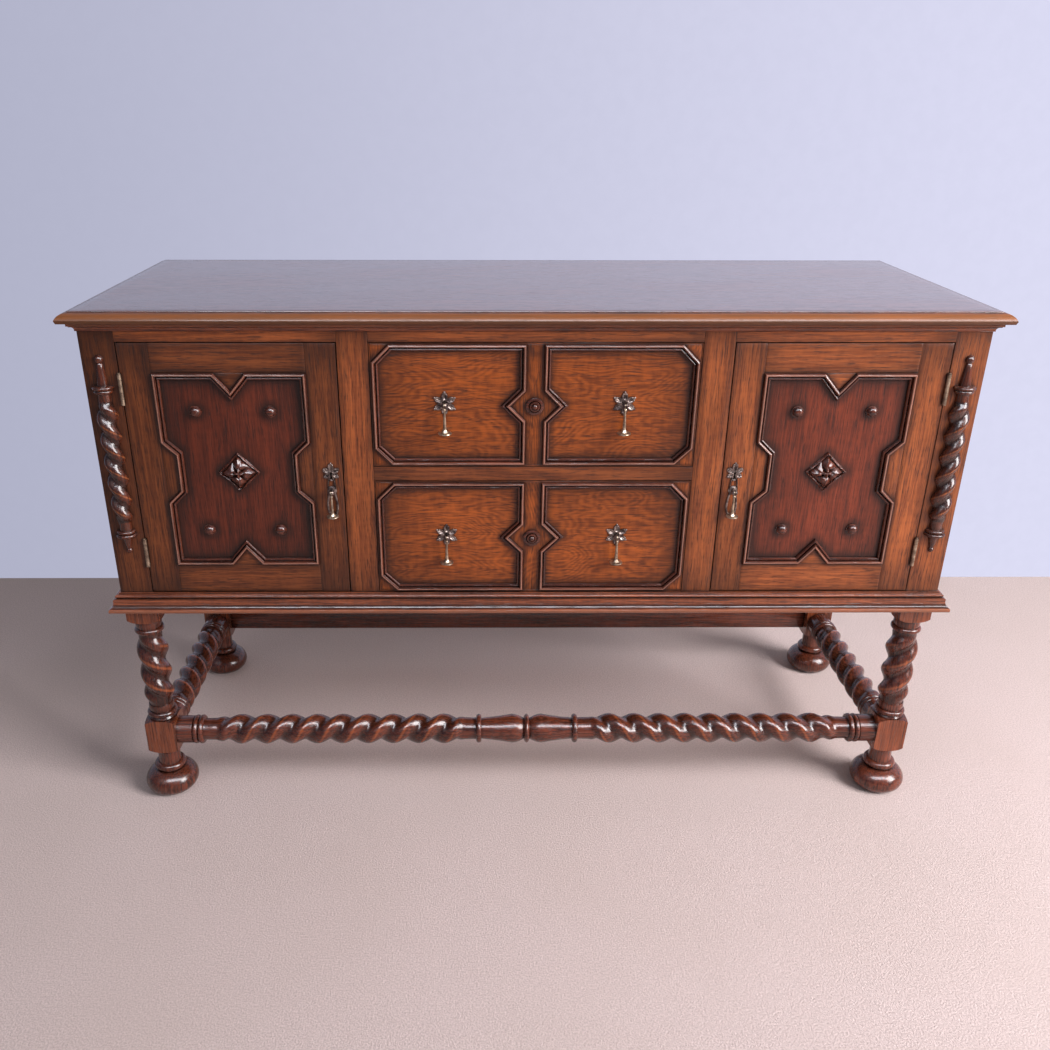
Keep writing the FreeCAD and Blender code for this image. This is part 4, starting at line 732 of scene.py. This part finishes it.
def star_plate(centre):
    """Drawer handle's plate: six channelled leaves with beaded tips round an eye."""
    solid = bmesh.new()
    outline = petals(17.6 * MM, 8.5 * MM)
    relief(solid, centre, outline, channelled(outline, 5.4 * MM), turns=144, rings=20)
    middle = Vector(centre) - Vector((0, HALF_PLATE, 0))
    for leaf in range(LEAVES):
        for turn, reach, size in ((0.0, 18.3, 1.6), (0.16, 15.4, 1.25), (-0.16, 15.4, 1.25)):
            bead(solid, middle + polar(leaf_angle(leaf) + turn, reach * MM), size * MM)
    bmesh.ops.recalc_face_normals(solid, faces=solid.faces)
    return solid


def pull_plate(x):
    """Door pull's plate: leaves round a keyhole, a neck, a domed boss and a pear-shaped loop."""
    middle_y = FRONT - HALF_PLATE
    slot_half, slot_long, eye = 1.1 * MM, 9.0 * MM, 1.9 * MM

    def keyhole(angle):
        below = -math.sin(angle)
        if below <= 0:
            return eye
        along = slot_long / below
        aside = slot_half / max(abs(math.cos(angle)), 1e-6)
        return max(eye, min(along, aside))

    plate = bmesh.new()
    leaves = petals(13.0 * MM, 7.6 * MM, lean=3.6 * MM)

    def outline(angle):
        below = max(0.0, -math.sin(angle))
        return max(leaves(angle), 12.5 * MM * below ** 3)

    def height(radius, angle):
        leaf = channelled(outline, 3.0 * MM)(radius, angle)
        rim = math.exp(-((radius - keyhole(angle) - 1.5 * MM) / (1.0 * MM)) ** 2)
        return min(PLATE, max(leaf, PLATE * rim))

    relief(plate, (x, FRONT, KEYHOLE_Z), outline, height, turns=180, rings=18, inner=keyhole)
    lowest = LEAVES // 2  # this leaf runs into the neck and has no beads
    for leaf in range(LEAVES):
        angle = leaf_angle(leaf)
        if leaf == lowest:
            continue
        reach = min(leaves(angle) + 0.5 * MM, 11.0 * MM / max(abs(math.cos(angle)), 0.1))
        for turn, back in ((0.0, 0.0), (0.2, 2.6 * MM), (-0.2, 2.6 * MM)):
            place = Vector((x, middle_y, KEYHOLE_Z)) + polar(angle + turn, reach - back)
            bead(plate, place, 1.35 * MM)

    dome_half = 7.6 * MM
    dome = lambda radius, angle: PLATE * math.sqrt(max(0.12, 1 - (radius / dome_half) ** 2))
    relief(plate, (x, FRONT, PULL_BOSS_Z), lambda angle: dome_half, dome, turns=64, rings=12)

    half_wide, half_high, bar = 10.4 * MM, 24.3 * MM, 1.6 * MM
    pear, pear_steps, neck_steps = [], 72, 8
    for step in range(pear_steps):
        angle = 2 * math.pi * step / pear_steps
        swell = 0.70 - 0.30 * math.cos(angle)
        pear.append(Vector((x + half_wide * swell * math.sin(angle), middle_y,
                            LOOP_Z + half_high * math.cos(angle))))
    tube(plate, pear, bar, HALF_PLATE)
    for side in (-1, 1):
        arm = []
        for step in range(neck_steps + 1):
            part = step / neck_steps
            arm.append(Vector((x + side * (4.2 + 2.4 * part) * MM, middle_y,
                               KEYHOLE_Z - (8 + 20 * part) * MM)))
        tube(plate, arm + arm[::-1][1:-1], 0.9 * MM, 1.0 * MM, sides=8)
    bead(plate, Vector((x, middle_y, LOOP_Z - half_high)), 2.4 * MM)
    bmesh.ops.recalc_face_normals(plate, faces=plate.faces)
    return plate


def middle_of(triangles):
    points = np.array(triangles).reshape(-1, 3)
    return (points.min(0) + points.max(0)) / 2


def swapped(node, index, triangles):
    """The finer shape for a solid that the CAD keeps plain, or None."""
    if node.endswith("bosses") and index == 0:
        middle = middle_of(triangles)
        return lozenge((middle[0], DOOR_FIELD, middle[2]))
    if node.endswith("handle_plates") and index % HANDLE_SOLIDS == 0:
        middle = middle_of(triangles)
        return star_plate((middle[0], DRAWER_FIELD, middle[2]))
    if node.endswith("pull_plate") and index == 0:
        return pull_plate(middle_of(triangles)[0])
    return None


HANDLE_SOLIDS = 4  # of each drawer handle, the star plate first
BOARD_SLOTS = ("top_oak", "frame_oak", "panel_oak", "drawer_oak", "inside_oak")
STEPS = {"panel": 5 * MM, "frame": 9 * MM, "front": 6 * MM}
WIDE_STEP = 16 * MM

for node in sorted(frame["nodes"]):
    skin = Skin(node)
    slot = slot_of(node)
    board = slot in BOARD_SLOTS and not node.endswith("moulding")
    for index, triangles in enumerate(solids(node)):
        solid = swapped(node, index, triangles)
        if solid is None:
            solid = welded(triangles)
            if board or node == "stretcher_rear":
                ease(solid)
            if board and slot != "inside_oak":
                cut_up(solid, STEPS.get(node.split("_")[-1], WIDE_STEP))
        skin.take(solid)
    skin.finish()


# ---------------------------------------------------------------- floor, light and camera

CARPET_ENDS = (1.8, 4.2)  # from the middle of the piece, where the carpet goes over to one tone
WALL_HALF = 1.6  # how far left and right the wall's painted light goes from dim to bright


def carpet():
    """Pale carpet that goes over to an even pale tone far from the piece, for the camera only."""
    f = Finish("floor")
    spot = f.spot()
    tuft = f.noise(spot, (340, 340, 340), 3.0, 0.75)
    cloud = f.noise(spot, (2.2, 2.2, 2.2), 2.0)
    colour = f.mix(f.span(tuft, 0.3, 0.7), ink(200, 180, 177), ink(232, 212, 209))
    colour = f.mix(f.span(cloud, 0.3, 0.7, 0.0, 0.3), colour, ink(204, 184, 176))
    sockets = {"Base Color": colour, "Roughness": 0.95, "Normal": f.bump(tuft, 3.5 * MM, 0.65)}
    pile = f.add("ShaderNodeBsdfPrincipled", sockets)
    far = f.add("ShaderNodeVectorMath", {0: spot}, operation="LENGTH").outputs["Value"]
    seen = f.add("ShaderNodeLightPath").outputs["Is Camera Ray"]
    part = f.math("MULTIPLY", f.span(far, *CARPET_ENDS), seen)
    plain = f.add("ShaderNodeEmission", {"Color": ink(206, 188, 186), "Strength": 1.0})
    either = f.blend(part, pile.outputs[0], plain.outputs[0])
    f.add("ShaderNodeOutputMaterial", {0: either})
    return f.material


def plaster():
    """Pale glowing wall, lighter towards the right as painted light, that shows from the front only, so
    that the piece can be seen from behind.
    """
    f = Finish("wall")
    spot = f.spot()
    across = f.add("ShaderNodeSeparateXYZ", {0: spot}).outputs["X"]
    mottle = f.noise(spot, (30, 30, 30), 3.0, 0.6)
    # Painted light: the wall glows brighter towards the right, where the window lamp is.
    colour = f.mix(f.span(across, -WALL_HALF, WALL_HALF), ink(176, 178, 200), ink(222, 222, 246))
    colour = f.mix(f.span(mottle, 0.3, 0.7, 0.0, 0.04), colour, ink(160, 162, 184))
    painted_glow = f.add("ShaderNodeEmission", {"Color": colour, "Strength": 1.0})
    clear = f.add("ShaderNodeBsdfTransparent")
    back = f.add("ShaderNodeNewGeometry").outputs["Backfacing"]
    either = f.blend(back, painted_glow.outputs[0], clear.outputs[0])
    f.add("ShaderNodeOutputMaterial", {0: either})
    return f.material


def sheet(name, corners, material):
    mesh = bpy.data.meshes.new(name)
    mesh.from_pydata(corners, [], [(0, 1, 2, 3)])
    mesh.materials.append(material)
    made = bpy.data.objects.new(name, mesh)
    bpy.context.scene.collection.objects.link(made)
    return made


FAR = 9.0
GROUND = loaded_box[0][2]
WALL_Y, WALL_HEIGHT = 0.66, 3.2
sheet("floor", [(-FAR, -FAR, GROUND), (FAR, -FAR, GROUND), (FAR, FAR, GROUND),
                (-FAR, FAR, GROUND)], carpet())
wall = sheet("wall", [(-FAR, WALL_Y, GROUND), (FAR, WALL_Y, GROUND), (FAR, WALL_Y, WALL_HEIGHT),
                      (-FAR, WALL_Y, WALL_HEIGHT)], plaster())
wall.visible_diffuse = False
wall.visible_shadow = False


def lamp(name, place, target, wide, high, power, colour):
    light = bpy.data.lights.new(name, "AREA")
    light.shape = "RECTANGLE"
    light.size, light.size_y = wide, high
    light.energy = power
    light.color = colour
    holder = bpy.data.objects.new(name, light)
    holder.location = place
    holder.rotation_euler = (Vector(target) - Vector(place)).to_track_quat("-Z", "Y").to_euler()
    bpy.context.scene.collection.objects.link(holder)
    return holder


AIM = (0.0, 0.0, 0.5)
lamp("window", (2.9, -1.8, 2.1), AIM, 1.75, 2.0, 222, (1.0, 0.985, 0.995))
lamp("fill", (-2.4, -2.6, 2.4), AIM, 2.2, 1.8, 8, (0.95, 0.97, 1.0))
card = lamp("card", (0.3, -2.35, 2.95), AIM, 3.6, 1.1, 190, (0.88, 0.92, 1.0))
card.visible_diffuse = False  # it only adds highlights

world = bpy.data.worlds.new("room")
bpy.context.scene.world = world
room = Nodes(world)


def backdrop(colour, strength):
    return room.add("ShaderNodeBackground", {"Color": colour, "Strength": strength}).outputs[0]


ray = room.add("ShaderNodeLightPath")
lit = backdrop(ink(252, 250, 255), 0.25)
mirrored = backdrop(ink(214, 220, 255), 0.25)
seen = backdrop(ink(214, 214, 230), 1.0)
unseen = room.blend(ray.outputs["Is Glossy Ray"], lit, mirrored)
room.add("ShaderNodeOutputWorld", {0: room.blend(ray.outputs["Is Camera Ray"], unseen, seen)})

# Fitted to the edges of the piece in the photo
CAMERA_PLACE = (-0.08642, -1.71298, 1.20211)
YAW, PITCH, ROLL = 0.00815, 0.42124, -0.00238
right_flat = Vector((math.cos(YAW), -math.sin(YAW), 0))
ahead = Vector((math.cos(PITCH) * math.sin(YAW), math.cos(PITCH) * math.cos(YAW), -math.sin(PITCH)))
up_flat = Vector((math.sin(PITCH) * math.sin(YAW), math.sin(PITCH) * math.cos(YAW), math.cos(PITCH)))
right = math.cos(ROLL) * right_flat - math.sin(ROLL) * up_flat
up = math.sin(ROLL) * right_flat + math.cos(ROLL) * up_flat

lens = bpy.data.cameras.new("camera")
lens.sensor_width = 36.0
lens.lens = 33.302
lens.shift_x, lens.shift_y = 0.0360, 0.00586
lens.clip_start = 0.05
camera = bpy.data.objects.new("camera", lens)
turn = Matrix((right, up, -ahead)).transposed().to_4x4()
camera.matrix_world = Matrix.Translation(CAMERA_PLACE) @ turn
bpy.context.scene.collection.objects.link(camera)
bpy.context.scene.camera = camera
bpy.context.scene.view_settings.view_transform = "Standard"
